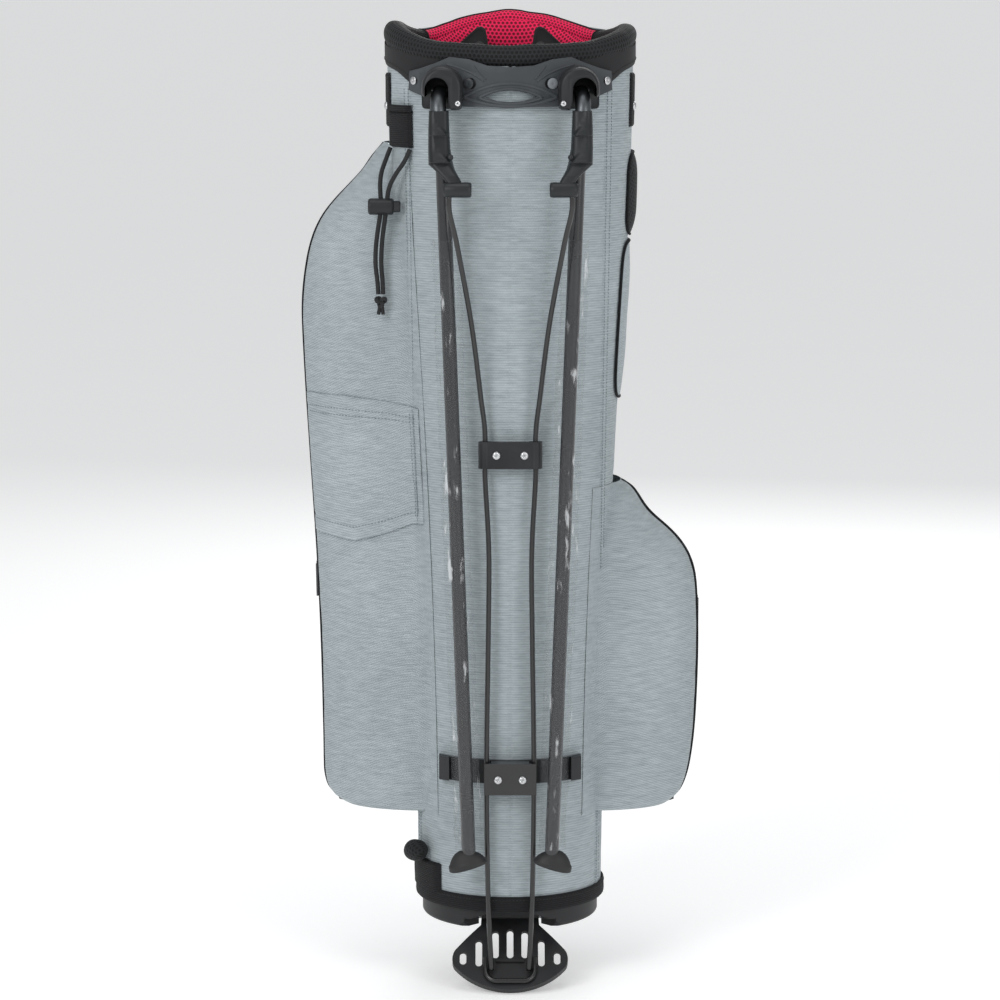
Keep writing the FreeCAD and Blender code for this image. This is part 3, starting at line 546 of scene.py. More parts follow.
def swept(path, profile, up=(0, 0, 1), closed=False):
    """A closed outline (n, 2), or one for each point, carried along a path: a grid to join around."""
    one, two = frames_along(path, up, closed)
    profile = np.asarray(profile, float)
    if profile.ndim == 2:
        profile = np.broadcast_to(profile, (len(path),) + profile.shape)
    grid = np.asarray(path)[:, None] + profile[..., :1] * one[:, None] + profile[..., 1:] * two[:, None]
    return np.concatenate([grid, grid[:1]]) if closed else grid


def ring(radius, count=12, other=None):
    """A circle, or an oval with another radius across."""
    turn = turns(count)
    return np.stack([radius * np.cos(turn), (other or radius) * np.sin(turn)], 1)


def resample(path, step):
    """Evenly spaced points along a line."""
    path = np.asarray(path, float)
    run = runs(path)
    count = max(2, int(round(run[-1] / step)) + 1)
    spots = np.linspace(0, run[-1], count)
    return np.stack([np.interp(spots, run, path[:, k]) for k in range(3)], 1)


def smooth_path(points, step=2 * MM):
    """A smooth line through a few points."""
    points = np.asarray(points, float)
    ends = np.concatenate([[2 * points[0] - points[1]], points, [2 * points[-1] - points[-2]]])
    line = []
    for p0, p1, p2, p3 in zip(ends, ends[1:], ends[2:], ends[3:]):
        for t in np.linspace(0, 1, 12, endpoint=False):
            line.append(0.5 * (2 * p1 + (p2 - p0) * t + (2 * p0 - 5 * p1 + 4 * p2 - p3) * t ** 2
                               + (3 * p1 - p0 - 3 * p2 + p3) * t ** 3))
    return resample(line + [points[-1]], step)


def stitches(piece, path, out, pitch=3.4 * MM, length=2.3 * MM, thick=0.34 * MM, kind=0):
    """A row of short thread lumps along a path; out is the outward direction at each of its points."""
    spots = resample(path, pitch)
    old, new = np.linspace(0, 1, len(out)), np.linspace(0, 1, len(spots))
    outs = np.stack([np.interp(new, old, np.asarray(out)[:, k]) for k in range(3)], 1)
    along = np.gradient(spots, axis=0)
    for spot, way, normal in zip(spots, along, outs):
        way = way / np.linalg.norm(way)
        side = np.cross(way, normal)
        side /= max(np.linalg.norm(side), 1e-9)
        rows = []
        for share, size in ((-0.5, 0.25), (-0.3, 0.9), (0.3, 0.9), (0.5, 0.25)):
            centre = spot + way * share * length
            rows.append([centre + thick * size * (side * math.cos(t) + normal * (0.35 + math.sin(t)))
                         for t in turns(5)])
        piece.grid(rows, around=True, kind=kind)


DOME_STEPS = [(0.0, 0.72), (0.3, 0.98), (0.55, 0.94), (0.8, 0.8), (0.94, 0.6), (1.0, 0.35), (1.0, -0.4)]


def dome_head(piece, centre, out, radius, height, cross=0.0, kind=0):
    """A domed screw or rivet head; cross is the size of the cut across in its top."""
    out = np.array(out, float) / np.linalg.norm(out)
    side = np.cross(out, (0, 0, 1.0))
    side = side / np.linalg.norm(side) if np.linalg.norm(side) > 1e-6 else np.array((1.0, 0, 0))
    lift = np.cross(side, out)
    rows = []
    for share, level in DOME_STEPS:
        line = []
        for turn in turns(32):
            reach = share * radius
            x, y = reach * math.cos(turn), reach * math.sin(turn)
            cut = cross * radius
            sunk = cross and reach < 0.62 * radius and min(abs(x), abs(y)) < 0.3 * cut
            rise = height * (level - (0.45 if sunk else 0.0))
            line.append(np.array(centre) + side * x + lift * y + out * rise)
        rows.append(line)
    piece.grid(rows[::-1], around=True, kind=kind, caps=True)


# ---------------------------------------------------------------- cords
def make_cord(name, route, node, material):
    """One strand of the elastic cord, hanging from the tab to the knot."""
    curve = bpy.data.curves.new(name, "CURVE")
    curve.dimensions = "3D"
    curve.bevel_depth = CORD_THICK / 2
    curve.bevel_resolution = 4
    curve.resolution_u = 8
    spline = curve.splines.new("NURBS")
    spline.points.add(len(route) - 1)
    for point, (x, y, z) in zip(spline.points, route):
        point.co = (*mm(x, y, z), 1)
    spline.order_u = 3
    spline.use_endpoint_u = True
    curve.materials.append(material)
    cord = bpy.data.objects.new(name, curve)
    bpy.context.scene.collection.objects.link(cord)
    settle(cord, "bag", [node])
    return cord


def make_knot(material):
    """An overhand knot of both strands, drawn tight, with two short tails."""
    low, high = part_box("cord_knot")
    centre = (low + high) / 2
    mid = np.array((centre.x, centre.y, high.z - 7.0 * MM))
    piece = Piece("elastic_knot")
    turn = turns(90)
    for shift, size in ((0.0, 1.0), (0.35, 0.88)):
        path = np.stack([(np.sin(turn + shift) + 1.5 * np.sin(2 * turn)) * 2.1 * MM * size,
                         np.sin(3 * turn) * 2.0 * MM * size,
                         (np.cos(turn + shift) - 1.5 * np.cos(2 * turn)) * 2.1 * MM * size], 1) + mid
        piece.grid(swept(path, ring(1.7 * MM, 10), closed=True), around=True)
    for side in (-1, 1):
        tail = smooth_path([mid + (side * 1.0 * MM, 0, -3 * MM), mid + (side * 1.6 * MM, 0, -8 * MM),
                            mid + (side * 2.3 * MM, 0, low.z - mid[2] + 0.4 * MM)])
        piece.grid(swept(tail, ring(1.9 * MM, 10)), around=True, caps=True)
    return piece.done(material, "bag", "elastic_cord", ["cord_knot"])


# ---------------------------------------------------------------- tube, collar and dividers
TUBE_TOP = COLLAR_MID - 3.0 * MM
ROUND_COLUMNS = 300
CENTRE_RADIUS, SEAM_RADIUS, CLOTH_RADIUS = 0.105, 0.11, 0.112
ROLL_TURNS = 40
LINING_HALF = 0.92
DIVIDER_X = 30 * MM
TRIANGLE = [(56, 0), (49, 8), (33, 22.5), (28, 24), (24, 21), (20.5, 0), (56, 0)]
TRIANGLE_LAYERS = [(-2.2, 0.86), (-2.6, 0.93), (-1.9, 0.985), (0, 1.0), (1.9, 0.985), (2.6, 0.93),
                   (2.2, 0.86)]
RIM_DEGREES = [-180, -158, -131, -112, -97, -83, -62, -38, 0, 38, 62, 83, 97, 112, 131, 158, 180]
RIM_LEVELS = [901, 894, 879, 886, 890.5, 891, 882, 871.5, 868, 871, 880, 887.5, 887, 883, 879, 894, 901]
ROLL_PATH = (113.0 * MM, 96.0 * MM)
ROLL_WIDE = 11.0 * MM
RED_FROM = math.radians(127)


def skin_edge(angle):
    """How high the skin goes, just under the roll."""
    return TUBE_TOP - COLLAR_SLOPE * 104 * MM * np.cos(angle)


def seam_angle(side, z):
    """Where the long double-stitched seams run."""
    high, low = ((-101, -88.6) if side < 0 else (96, 86.8))
    x = np.interp(z, (0.02, 0.86), (low * MM, high * MM))
    return angle_at(x, z)


def make_tube(cloth, lining, thread):
    """The tube's cloth, drawn in along its seams, with its lining and stitching."""
    angles = np.linspace(-math.pi, math.pi, ROUND_COLUMNS, endpoint=False)
    share = np.linspace(0, 1, 230)[:, None]
    z = SKIN_LOW.z + share * (skin_edge(angles)[None] - SKIN_LOW.z)
    angle = np.broadcast_to(angles, z.shape)
    flat = on_tube(angle, z)
    sag = rough(flat, 0.09, 0.5 * MM, 1, (1, 1, 0.5)) + rough(flat, 0.028, 0.28 * MM, 2, (1, 1, 2.2))
    arc = CENTRE_RADIUS * np.abs(angle)
    lift = sag - 0.8 * MM + 0.5 * MM * bell(arc, 4 * MM) - 1.7 * MM * bell(arc, 0.9 * MM)
    for side in (-1, 1):
        away = (angle - seam_angle(side, z)) * SEAM_RADIUS
        lift = lift + 0.9 * MM * bell(away, 4 * MM, 4) - 1.2 * MM * bell(away + side * 4.6 * MM, 0.9 * MM)
    tube = Piece("tube_cloth")
    across = angle * CLOTH_RADIUS
    wide = np.concatenate([across, across[:, :1] + 2 * math.pi * CLOTH_RADIUS], 1)
    tall = np.concatenate([z, z[:, :1]], 1)
    tube.grid(on_tube(angle, z, lift), around=True, uv=np.stack([wide, tall], 2))
    tube.done(cloth, "bag", "tube_fabric", ["bag_skin"])

    inner = Piece("tube_lining")
    rows = on_tube(angle[::6, ::3], z[::6, ::3], -3.0 * MM + 0.5 * sag[::6, ::3])
    inner.grid(rows[:, ::-1], around=True)
    inner.done(lining, "bag", "divider_fabric")

    rows = Piece("tube_stitching")
    z = np.linspace(0.037, 0.825, 160)
    for side in (-1, 1):
        for shift in (-3.2, 3.2):
            angle = seam_angle(side, z) + shift * MM / SEAM_RADIUS
            stitches(rows, on_tube(angle, z, 0.25 * MM), way_out(angle, z))
    rows.done(thread, "bag", "tube_fabric")


def rim_height(angle):
    """The height of the roll's crest, round the mouth."""
    return np.interp(angle, np.radians(RIM_DEGREES), RIM_LEVELS) * MM


def make_collar(black, red, tape):
    """The padded roll round the mouth, red where it faces in on the far side, and its piping."""
    angles = np.linspace(-math.pi, math.pi, ROUND_COLUMNS, endpoint=False)
    kernel = np.hanning(19)
    level = rim_height(angles)
    level = np.convolve(np.concatenate([level[-9:], level, level[:9]]), kernel / kernel.sum(), "valid")
    low = np.minimum(COLLAR_MID - 10 * MM - COLLAR_SLOPE * ROLL_PATH[1] * np.cos(angles), level - 17 * MM)
    low = low - 3.5 * MM * np.clip(np.cos(angles) * 1.6, 0, 1)
    middle, half = (level + low) / 2, (level - low) / 2
    grid = []
    for turn in turns(ROLL_TURNS):
        a, b = (reach + ROLL_WIDE * squared(math.cos(turn), 0.85) for reach in ROLL_PATH)
        grid.append(np.stack([a * np.sin(angles), -b * np.cos(angles), middle + half * math.sin(turn)], 1))
    grid = np.array(grid)
    normal = np.swapaxes(normals_of(np.swapaxes(grid, 0, 1), around=True), 0, 1)
    normal *= np.sign((normal * (grid - grid.mean(axis=0, keepdims=True))).sum(axis=2, keepdims=True))
    puff = rough(grid, 0.035, 1.1 * MM, 5) + rough(grid, 0.012, 0.35 * MM, 6) - 0.4 * MM
    grid = grid + normal * puff[..., None]
    around = np.concatenate([grid, grid[:1]])
    far = np.abs(angles) > RED_FROM
    columns = np.arange(len(angles))
    first, last = columns[far & (angles > 0)][0], columns[far & (angles < 0)][-1]
    length, section = runs(around[0]), runs(around[:, 0])
    roll = Piece("collar_roll")

    def patch(cols, rows, kind):
        uv = np.stack(np.broadcast_arrays(length[cols][None], section[rows][:, None]), 2)
        roll.grid(around[rows][:, cols], kind=kind, uv=uv)

    whole = list(range(ROLL_TURNS + 1))
    outer, facing, under = whole[:11], whole[10:31], whole[30:]
    patch(list(range(last, first + 1)), whole, 0)
    for cols in (list(range(first, len(angles))), list(range(last + 1))):
        patch(cols, outer, 0)
        patch(cols, under, 0)
        patch(cols, facing, 1)
    for rows, kind in ((outer, 0), (under, 0), (facing, 1)):
        ends = around[rows][:, [len(angles) - 1, 0]]
        step = np.linalg.norm(ends[0, 1] - ends[0, 0])
        joined = np.array([length[-1], length[-1] + step])
        uv = np.stack(np.broadcast_arrays(joined[None], section[rows][:, None]), 2)
        roll.grid(ends, kind=kind, uv=uv)
    roll.done([black, red], "bag", "black_mesh", ["collar_pad"])

    bead = Piece("collar_piping")
    crest = np.concatenate([grid[10, first:], grid[10, :last + 1]])
    bead.grid(swept(crest, ring(1.3 * MM, 8)), around=True)
    for column in (first, last):
        bead.grid(swept(grid[8:32, column], ring(1.1 * MM, 8)), around=True)
    bead.done(tape, "bag", "black_webbing")


def make_lining(red, tape):
    """The red padding on the mouth's far wall, below the roll."""
    angles = np.linspace(math.pi - LINING_HALF, math.pi + LINING_HALF, 70)
    away = np.abs(angles - math.pi) / LINING_HALF
    top = rim_height(((angles + math.pi) % (2 * math.pi)) - math.pi) - 9 * MM
    low = 0.806 + 0.045 * away ** 2.5
    share = np.linspace(0, 1, 40)[:, None]
    z = low + (top - low) * share
    crown = 5.5 * MM * (1 - (2 * share - 1) ** 4) * (1 - away ** 6)
    half_x, half_y = ROLL_PATH[0] - ROLL_WIDE, ROLL_PATH[1] - ROLL_WIDE
    reach = 0.5 * MM - crown
    points = np.stack([(half_x + reach) * np.sin(angles), -(half_y + reach) * np.cos(angles), z], 2)
    points[..., :2] += rough(points, 0.03, 0.6 * MM, 8)[..., None]
    panel = Piece("far_lining")
    panel.grid(points[:, ::-1])
    panel.done(red, "bag", "red_mesh", ["collar_lining"])
    edge = Piece("far_lining_binding")
    edge.grid(swept(points[0], ring(1.6 * MM, 8)), around=True)
    edge.done(tape, "bag", "black_webbing")


def make_skirt(cloth, thread):
    """The plain band sewn under the roll, deeper at the bracket's ears."""
    pieces, rows = Piece("collar_skirt_band"), Piece("collar_skirt_stitching")
    gap = math.radians(34)
    angles = np.linspace(gap, 2 * math.pi - gap, 220)
    near = np.minimum(angles - gap, 2 * math.pi - gap - angles)
    depth = 20 * MM + 12 * MM * bell(near, 0.42, 4)
    top = skin_edge(angles) - 1 * MM
    share = np.linspace(0, 1, 14)[:, None]
    z = top - depth * (1 - share)
    lift = 0.9 * MM + 0.9 * MM * np.sqrt(ramp(share, 0.25))
    lift = lift + rough(on_tube(angles, z), 0.03, 0.35 * MM, 9)
    pieces.grid(on_tube(np.broadcast_to(angles, z.shape), z, lift))
    pieces.done(cloth, "bag", "black_webbing", ["collar_skirt"])
    stitches(rows, on_tube(angles, z[3], 2.0 * MM), way_out(angles, z[3]))
    rows.done(thread, "bag", "black_webbing")


def make_dividers(cloth, thread):
    """The padded bars across the mouth, the triangles at their ends and the cloths below them."""
    low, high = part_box("divider_bars")
    bars, rows = Piece("divider_pads"), Piece("divider_stitching")
    middle = COLLAR_MID - 10 * MM
    for side in (-1, 1):
        y = np.linspace(low.y + 1 * MM, high.y - 1 * MM, 60)
        level = middle + COLLAR_SLOPE * y + 0.8 * MM * np.sin(y * 70)
        path = np.stack([side * DIVIDER_X + 0.6 * MM * np.sin(y * 90), y, level], 1)
        ends = [min(1, 0.35 + 14 * min(t, 1 - t)) for t in np.linspace(0, 1, 60)]
        squash = np.array([ring(6.6 * MM * size, 18, 7.6 * MM * size) for size in ends])
        bars.grid(swept(path, squash), around=True, caps=True)
        for lean in (-1, 1):
            line = path[4:-4] + (lean * 5.6 * MM, 0, 3.6 * MM)
            stitches(rows, line, np.tile((lean * 0.8, 0, 0.6), (2, 1)))
    bars.done(cloth, "bag", "divider_fabric", ["divider_bars"])

    tabs = Piece("divider_triangles")
    for side in (-1, 1):
        outline = [(side * x * MM, 0, COLLAR_MID - 13 * MM + z * MM) for x, z in TRIANGLE]
        shape = resample(outline, 1.2 * MM)[:-1]
        centre = shape.mean(0)
        layers = []
        for y, scale in TRIANGLE_LAYERS:
            ringed = centre + (shape - centre) * scale
            layers.append(ringed + (0, y * MM - 4 * MM, 0))
        tabs.grid(layers[::-1], around=True, caps=True)
        edge = centre + (shape - centre) * 0.84 + (0, -6.6 * MM, 0)
        stitches(rows, edge[:-12], np.tile((0, -1.0, 0), (2, 1)), pitch=2.8 * MM, length=1.9 * MM)
    tabs.done(cloth, "bag", "divider_fabric", ["divider_tabs"])
    rows.done(thread, "bag", "divider_fabric")

    box_low, box_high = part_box("divider_panels")
    panels = Piece("divider_cloths")
    y, z = np.meshgrid(np.linspace(box_low.y, box_high.y, 40), np.linspace(box_low.z, box_high.z, 70))
    for side in (-1, 1):
        flat = np.stack([np.full(y.shape, side * DIVIDER_X), y, z], 2)
        wave = rough(flat, 0.09, 2.0 * MM, 10 + side, (1, 1, 0.4)) * ramp(box_high.z - z, 0.1)
        flat[..., 0] += wave
        panels.grid(flat)
    thing = panels.done(cloth, "bag", "divider_fabric", ["divider_panels"])


# ---------------------------------------------------------------- pockets
ROOT_DEPTH = 12 * MM
SLEEVE_MIDDLE = 0.46


class Pocket:
    """The outer surface of a pocket, read from its CAD node by rays towards its root."""

    def __init__(self, node, side, middle):
        self.node, self.side, self.middle = node, side, middle
        self.low, self.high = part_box(node)

    def root(self, z):
        """A point just inside the tube's wall, behind the pocket's middle."""
        a, b = tube_size(z)
        if self.side:
            return np.array((self.side * (a - ROOT_DEPTH), self.middle, z))
        return np.array((0.0, b - ROOT_DEPTH, z))

    def point(self, angle, z):
        """Angle 0 points straight out of the bag and grows towards the leg side."""
        root = self.root(z)
        if self.side:
            way = np.array((self.side * math.cos(angle), -math.sin(angle), 0.0))
        else:
            way = np.array((-math.sin(angle), math.cos(angle), 0.0))
        start = root + way * 0.5
        spots = [hit(node, start, root) for node in (self.node, "bag_skin")]
        spots = [np.array(spot) for spot in spots if spot is not None]
        return min(spots, key=lambda spot: np.linalg.norm(spot - start)) if spots else root + way * 0.012

    def normals(self, rows, levels):
        """Unit normals of rows on the pocket, out of the bag; levels are the heights of its roots."""
        normal = normals_of(rows)
        outward = rows - np.array([self.root(z) for z in levels])[:, None]
        return normal * np.sign((normal * outward).sum(axis=2, keepdims=True))

    def surface(self, angles, levels):
        """Rows of points up the pocket; angles may be one list or a list for each level."""
        rows = [np.array([self.point(angle, z) for angle in line]) for line, z in zip(angles, levels)]
        return np.array(rows)


def evened(points, count):
    """Each row's points spread evenly along it."""
    rows = []
    for row in points:
        run = runs(row)
        spots = np.linspace(0, run[-1], count)
        rows.append(np.stack([np.interp(spots, run, row[:, k]) for k in range(3)], 1))
    return np.array(rows)


def make_pocket(pocket, name, cloth, tape, pucker=None, bead=1.6 * MM, seed=0):
    """A pocket of two halves joined by piping, its floor drawn in to the bag."""
    low, high = pocket.low.z, pocket.high.z
    levels = np.concatenate([[low + 0.6 * MM, low + 2 * MM, low + 4 * MM],
                             np.linspace(low + 8 * MM, high - 2 * MM, 96)])
    halves = []
    for way in (1, -1):
        angles = np.radians(np.concatenate([np.linspace(0, 84, 40), np.linspace(86, 98, 7)])) * way
        rows = evened(pocket.surface([angles] * len(levels), levels), 64)
        normal = pocket.normals(rows, levels)
        share = np.linspace(0, 1, 64)[None]
        bound = ramp(share, 0.06) * ramp(1 - share, 0.1)
        ends = (ramp(levels - low, 0.012) * ramp(high - levels, 0.02))[:, None]
        soft = -0.5 * MM
        for size, deep, count, tall in ((0.10, 1.6, 1, 0.7), (0.035, 0.7, 3, 1.6), (0.016, 0.22, 5, 2.0)):
            soft = soft + rough(rows, size, deep * MM, seed + count * way, (1, 1, tall))
        depth = soft * bound * ends - 1.4 * MM * bell(share * 64, 1.6)
        if pucker:
            spot = np.array(pucker)
            away = np.linalg.norm((rows - spot) * (1.0, 0.35, 1.0), axis=2)
            fold = np.sin((rows[..., 2] - spot[2]) * 2 * math.pi / (9 * MM) + (rows[..., 0] - spot[0]) * 160)
            depth = depth + 1.5 * MM * fold * bell(away, 15 * MM)
        rows = rows + normal * depth[..., None]
        floor_rows = []
        root = pocket.root(low)
        for scale, drop in ((0.05, 0.9), (0.35, 1.0), (0.7, 0.9), (0.9, 0.6), (0.97, 0.25)):
            line = root + (rows[0] - root) * scale
            line[:, 2] = low + (1 - drop) * 0.8 * MM
            floor_rows.append(line)
        halves.append(np.concatenate([floor_rows, rows]))
    pieces = Piece(name)
    front, back = halves
    flip = pocket.side < 0
    for rows, turn in ((front, flip), (back, not flip)):
        pieces.grid(rows[:, ::-1] if turn else rows)
    pieces.done(cloth, "bag", "pocket_fabric", [pocket.node])
    line = np.concatenate([front[1:3, 0], front[len(floor_rows):, 0]])
    outs = line - np.array([pocket.root(z) for z in line[:, 2]])
    outs /= np.linalg.norm(outs, axis=1, keepdims=True)
    path = smooth_path(line[::2] + outs[::2] * 0.5 * bead, 2.5 * MM)
    piping = Piece(name + "_piping")
    piping.grid(swept(path, ring(bead, 10)), around=True, caps=True)
    piping.done(tape, "bag", "black_webbing")


def make_band(pocket, cloth, thread):
    """The sleeve sewn round the leg-side half of the left pocket, open below."""
    columns = 90
    angles = np.radians(np.concatenate([np.linspace(7, 84, 60), np.linspace(86, 94.5, 12)]))
    count = 46
    probe = evened(pocket.surface([angles], [SLEEVE_MIDDLE]), columns)[0]
    x = -probe[:, 0] / MM
    top = np.interp(x, (88, 120, 160, 204), (514, 521, 525, 526)) * MM
    low = np.interp(x, (88, 100, 130, 157, 204), (401, 401, 390, 382.5, 390)) * MM
    grid = []
    for share in np.linspace(0, 1, count):
        level = low + (top - low) * share
        rows = evened(pocket.surface([angles] * 3, [level.min(), level.mean(), level.max()]), columns)
        spread = np.clip((level - level.min()) / max(level.max() - level.min(), 1e-6), 0, 1)
        line = np.array([[np.interp(at, (0, 0.5, 1), rows[:, column, k]) for k in range(3)]
                         for column, at in enumerate(spread)])
        line[:, 2] = level
        grid.append(line)
    grid = np.array(grid)
    normal = normals_of(grid)
    outward = grid - pocket.root(SLEEVE_MIDDLE)
    outward[..., 2] = 0
    normal *= np.sign((normal * outward).sum(axis=2, keepdims=True))
    down = np.linspace(0, 1, count)[:, None]
    across = np.linspace(0, 1, columns)[None]
    lift = 1.5 * MM + 1.6 * MM * bell(down, 0.10) * ramp(across, 0.1) * ramp(1 - across, 0.06)
    lift = lift + rough(grid, 0.05, 0.8 * MM, 31, (1, 1, 1.4)) * ramp(across, 0.08) + 0.5 * MM
    lift = lift - 0.8 * MM * bell(down - 0.9, 0.012) - 0.8 * MM * bell(down - 0.11, 0.012)
    lift = lift - 0.9 * MM * bell(across - 0.93, 0.008)
    grid = grid + normal * lift[..., None]
    under = grid[0] - normal[0] * 1.1 * MM + (0, 0, 0.2 * MM)
    hem = grid[0] - normal[0] * 0.5 * MM - (0, 0, 0.7 * MM)
    behind = grid[4] - normal[4] * 2.2 * MM
    over = grid[-1] - normal[-1] * 0.5 * MM + (0, 0, 0.5 * MM)
    tucked = grid[-1] - normal[-1] * 1.4 * MM
    side = grid[:, -1:] - normal[:, -1:] * 1.6 * MM
    grid = np.concatenate([grid, side], 1)
    caps = [np.concatenate([line, line[-1:]], 0) for line in (behind, under, hem, over, tucked)]
    grid = np.concatenate([caps[:3], grid, caps[3:]])
    band = Piece("left_pocket_sleeve")
    band.grid(grid[:, ::-1])
    thing = band.done(cloth, "bag", "pocket_fabric", ["left_pocket_band"])
    rows = Piece("left_pocket_sleeve_stitching")
    edge = grid[3:-2]
    for share in (0.885, 0.915, 0.105):
        line = edge[int(share * (count - 1)), 4:-5]
        stitches(rows, line + normal[20, 4:4 + len(line)] * 0.15 * MM, normal[20, 4:4 + len(line)])
    for share in (0.905, 0.955):
        col = int(share * (columns - 1))
        stitches(rows, edge[3:-3, col] + normal[3:-3, col] * 0.15 * MM, normal[3:-3, col])
    rows.done(thread, "bag", "pocket_fabric")


def make_zip(pocket, name, tape, metal_look):
    """Tape with teeth: the tape follows the pocket at the CAD tape's place."""
    side = pocket.side
    reach = {"left": (0.140, 0.380), "right": (0.170, 0.345), "ball": (0.150, 0.380)}[name]
    levels = np.linspace(*reach, 90)
    place = 30 * MM if side else -32 * MM
    rows = []
    for z in levels:
        line = []
        for shift in np.linspace(-6.2, 6.2, 9):
            spot = place + shift * MM
            start, end = ((side * 0.5, spot, z), (0, spot, z)) if side else ((spot, 0.5, z), (spot, 0, z))
            line.append(hit(pocket.node, start, end))
        rows.append(line)
    rows = np.array(rows, float)
    normal = pocket.normals(rows, levels)
    cloth = Piece(name + "_zip_cloth")
    lift = np.array([0.3, 1.2, 1.35, 1.5, 1.7, 1.5, 1.35, 1.2, 0.3]) * MM
    points = rows + normal * lift[None, :, None]
    cloth.grid(points if side > 0 else points[:, ::-1])
    cloth.done(tape, "bag", "zip_tape", ["zip_tapes"] if name == "left" else [])
    teeth = Piece(name + "_zip_teeth")
    spine = resample(rows[:, 4] + normal[:, 4] * 1.7 * MM, 1.9 * MM)
    across = rows[40, 8] - rows[40, 0]
    across /= np.linalg.norm(across)
    out = normal[45, 4]
    for index, spot in enumerate(spine):
        shift = across * (0.75 * MM if index % 2 else -0.75 * MM)
        layers = []
        for height, size in ((-0.5, 1.0), (0.35, 1.0), (0.55, 0.7)):
            middle = spot + shift + out * height * MM
            layers.append([middle + across * cx * size * MM + np.array((0, 0, cz * size * MM))
                           for cx, cz in ((-1.5, -0.5), (1.5, -0.5), (1.5, 0.5), (-1.5, 0.5))])
        teeth.grid(layers, around=True, caps=True)
    teeth.done(metal_look, "bag", "zip_metal")


def make_patch(name, node, angle_mid, half_arc, base, crown, cloth, tape, slot, replaces=True, corner=5.0,
               seed=0, channels=0):
    """A padded panel on the tube with rounded corners and piping round it, as tall as its CAD node."""
    low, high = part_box(node)
    count = 46
    s, t = np.meshgrid(np.linspace(-1, 1, count), np.linspace(-1, 1, count))
    limit = np.maximum(np.abs(s), np.abs(t))
    round_it = limit / np.maximum((np.abs(s) ** corner + np.abs(t) ** corner) ** (1 / corner), 1e-9)
    s2, t2 = s * round_it, t * round_it
    z = (low.z + high.z) / 2 + t2 * (high.z - low.z) / 2
    angle = angle_mid + s2 * half_arc
    lift = base + crown * (1 - limit ** 3.5)
    for k in range(channels):
        across = t2 - (2 * (k + 1) / (channels + 1) - 1)
        lift = lift - 0.35 * crown * bell(across, 0.035) * (1 - limit ** 6)
    flat = on_tube(angle, z)
    lift = lift + rough(flat, 0.03, 0.5 * MM, seed) * (1 - limit ** 4)
    points = on_tube(angle, z, lift)
    panel = Piece(name)
    panel.grid(points)
    ring_path = np.concatenate([points[0, :-1], points[:-1, -1], points[-1, :0:-1], points[:0:-1, 0]])
    outs = ring_path * (1, 1, 0)
    outs = outs / np.linalg.norm(outs, axis=1, keepdims=True)
    skirt = ring_path - outs * (base + 0.2 * MM)
    panel.grid(np.stack([skirt, ring_path]), around=True)
    panel.done(cloth, "bag", slot, [node] if replaces else [])
    piping = Piece(name + "_piping")
    path = resample(np.concatenate([ring_path, ring_path[:1]]), 2 * MM)[:-1]
    piping.grid(swept(path, ring(1.4 * MM, 8), closed=True), around=True)
    piping.done(tape, "bag", "black_webbing")


# ---------------------------------------------------------------- trim
SIDE_RIVET_Z = 0.808
STUD_Z = 0.832


def strip_on_tube(piece, angles, z_low, z_high, lift, edge=0.8 * MM, rows=12, waves=0.0, seed=3):
    """A flat tape on the tube, turned down along its edges."""
    share = np.linspace(0, 1, rows)[:, None]
    z = z_low + (z_high - z_low) * share
    angle = np.broadcast_to(angles, (rows, len(angles)))
    rise = np.full(angle.shape, lift)
    rise = rise + rough(on_tube(angle, np.broadcast_to(z, angle.shape)), 0.02, waves, seed)
    rise[0] -= edge
    rise[-1] -= edge
    rise[:, 0] -= edge
    rise[:, -1] -= edge
    points = on_tube(angle, np.broadcast_to(z, angle.shape), rise)
    piece.grid(points)


def make_binding(tape, thread):
    """The tape sewn round the base's top edge."""
    low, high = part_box("base_binding")
    band, rows = Piece("base_tape"), Piece("base_tape_stitching")
    angles = np.linspace(-math.pi, math.pi, 220)
    profile = [(low.z - 0.6 * MM, -2.0), (low.z - 0.8 * MM, 0.8), (low.z + 0.6 * MM, 2.0),
               (low.z + 3 * MM, 2.3), (low.z + 8 * MM, 2.1),
               (high.z - 3 * MM, 2.0), (high.z - 0.8 * MM, 1.8), (high.z, 1.1), (high.z, 0.1)]
    grid = np.array([on_tube(angles, np.full(angles.shape, z), lift * MM) for z, lift in profile])
    band.grid(grid)
    band.done(tape, "bag", "black_webbing", ["base_binding"])
    z = np.full(angles.shape, high.z - 3.2 * MM)
    stitches(rows, on_tube(angles, z, 2.05 * MM), way_out(angles, z))
    rows.done(thread, "bag", "black_webbing")


def make_webbing_tab(tape, thread):
    """The ribbed tab that the elastic cord hangs from, doubled at its top."""
    low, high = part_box("webbing_tab")
    tab = Piece("cord_tab")
    first, last = angle_at(np.array((low.x + 0.4 * MM, high.x)), 0.79)
    angles = np.linspace(first, last, 16)
    strip_on_tube(tab, angles, low.z, high.z - 6 * MM, 3.6 * MM, 2.8 * MM, 26, 0.5 * MM)
    strip_on_tube(tab, angles, high.z - 7 * MM, high.z, 5.4 * MM, 3.6 * MM, 8, 0.4 * MM, 5)
    tab.done(tape, "bag", "black_webbing", ["webbing_tab"])
    rows = Piece("cord_tab_stitching")
    for z in (low.z + 4 * MM, high.z - 9 * MM):
        levels = np.full(len(angles) - 2, z)
        line = on_tube(angles[1:-1], levels, 3.9 * MM)
        stitches(rows, line, way_out(angles[1:-1], levels), pitch=2.6 * MM, length=1.9 * MM)
    rows.done(thread, "bag", "black_webbing")


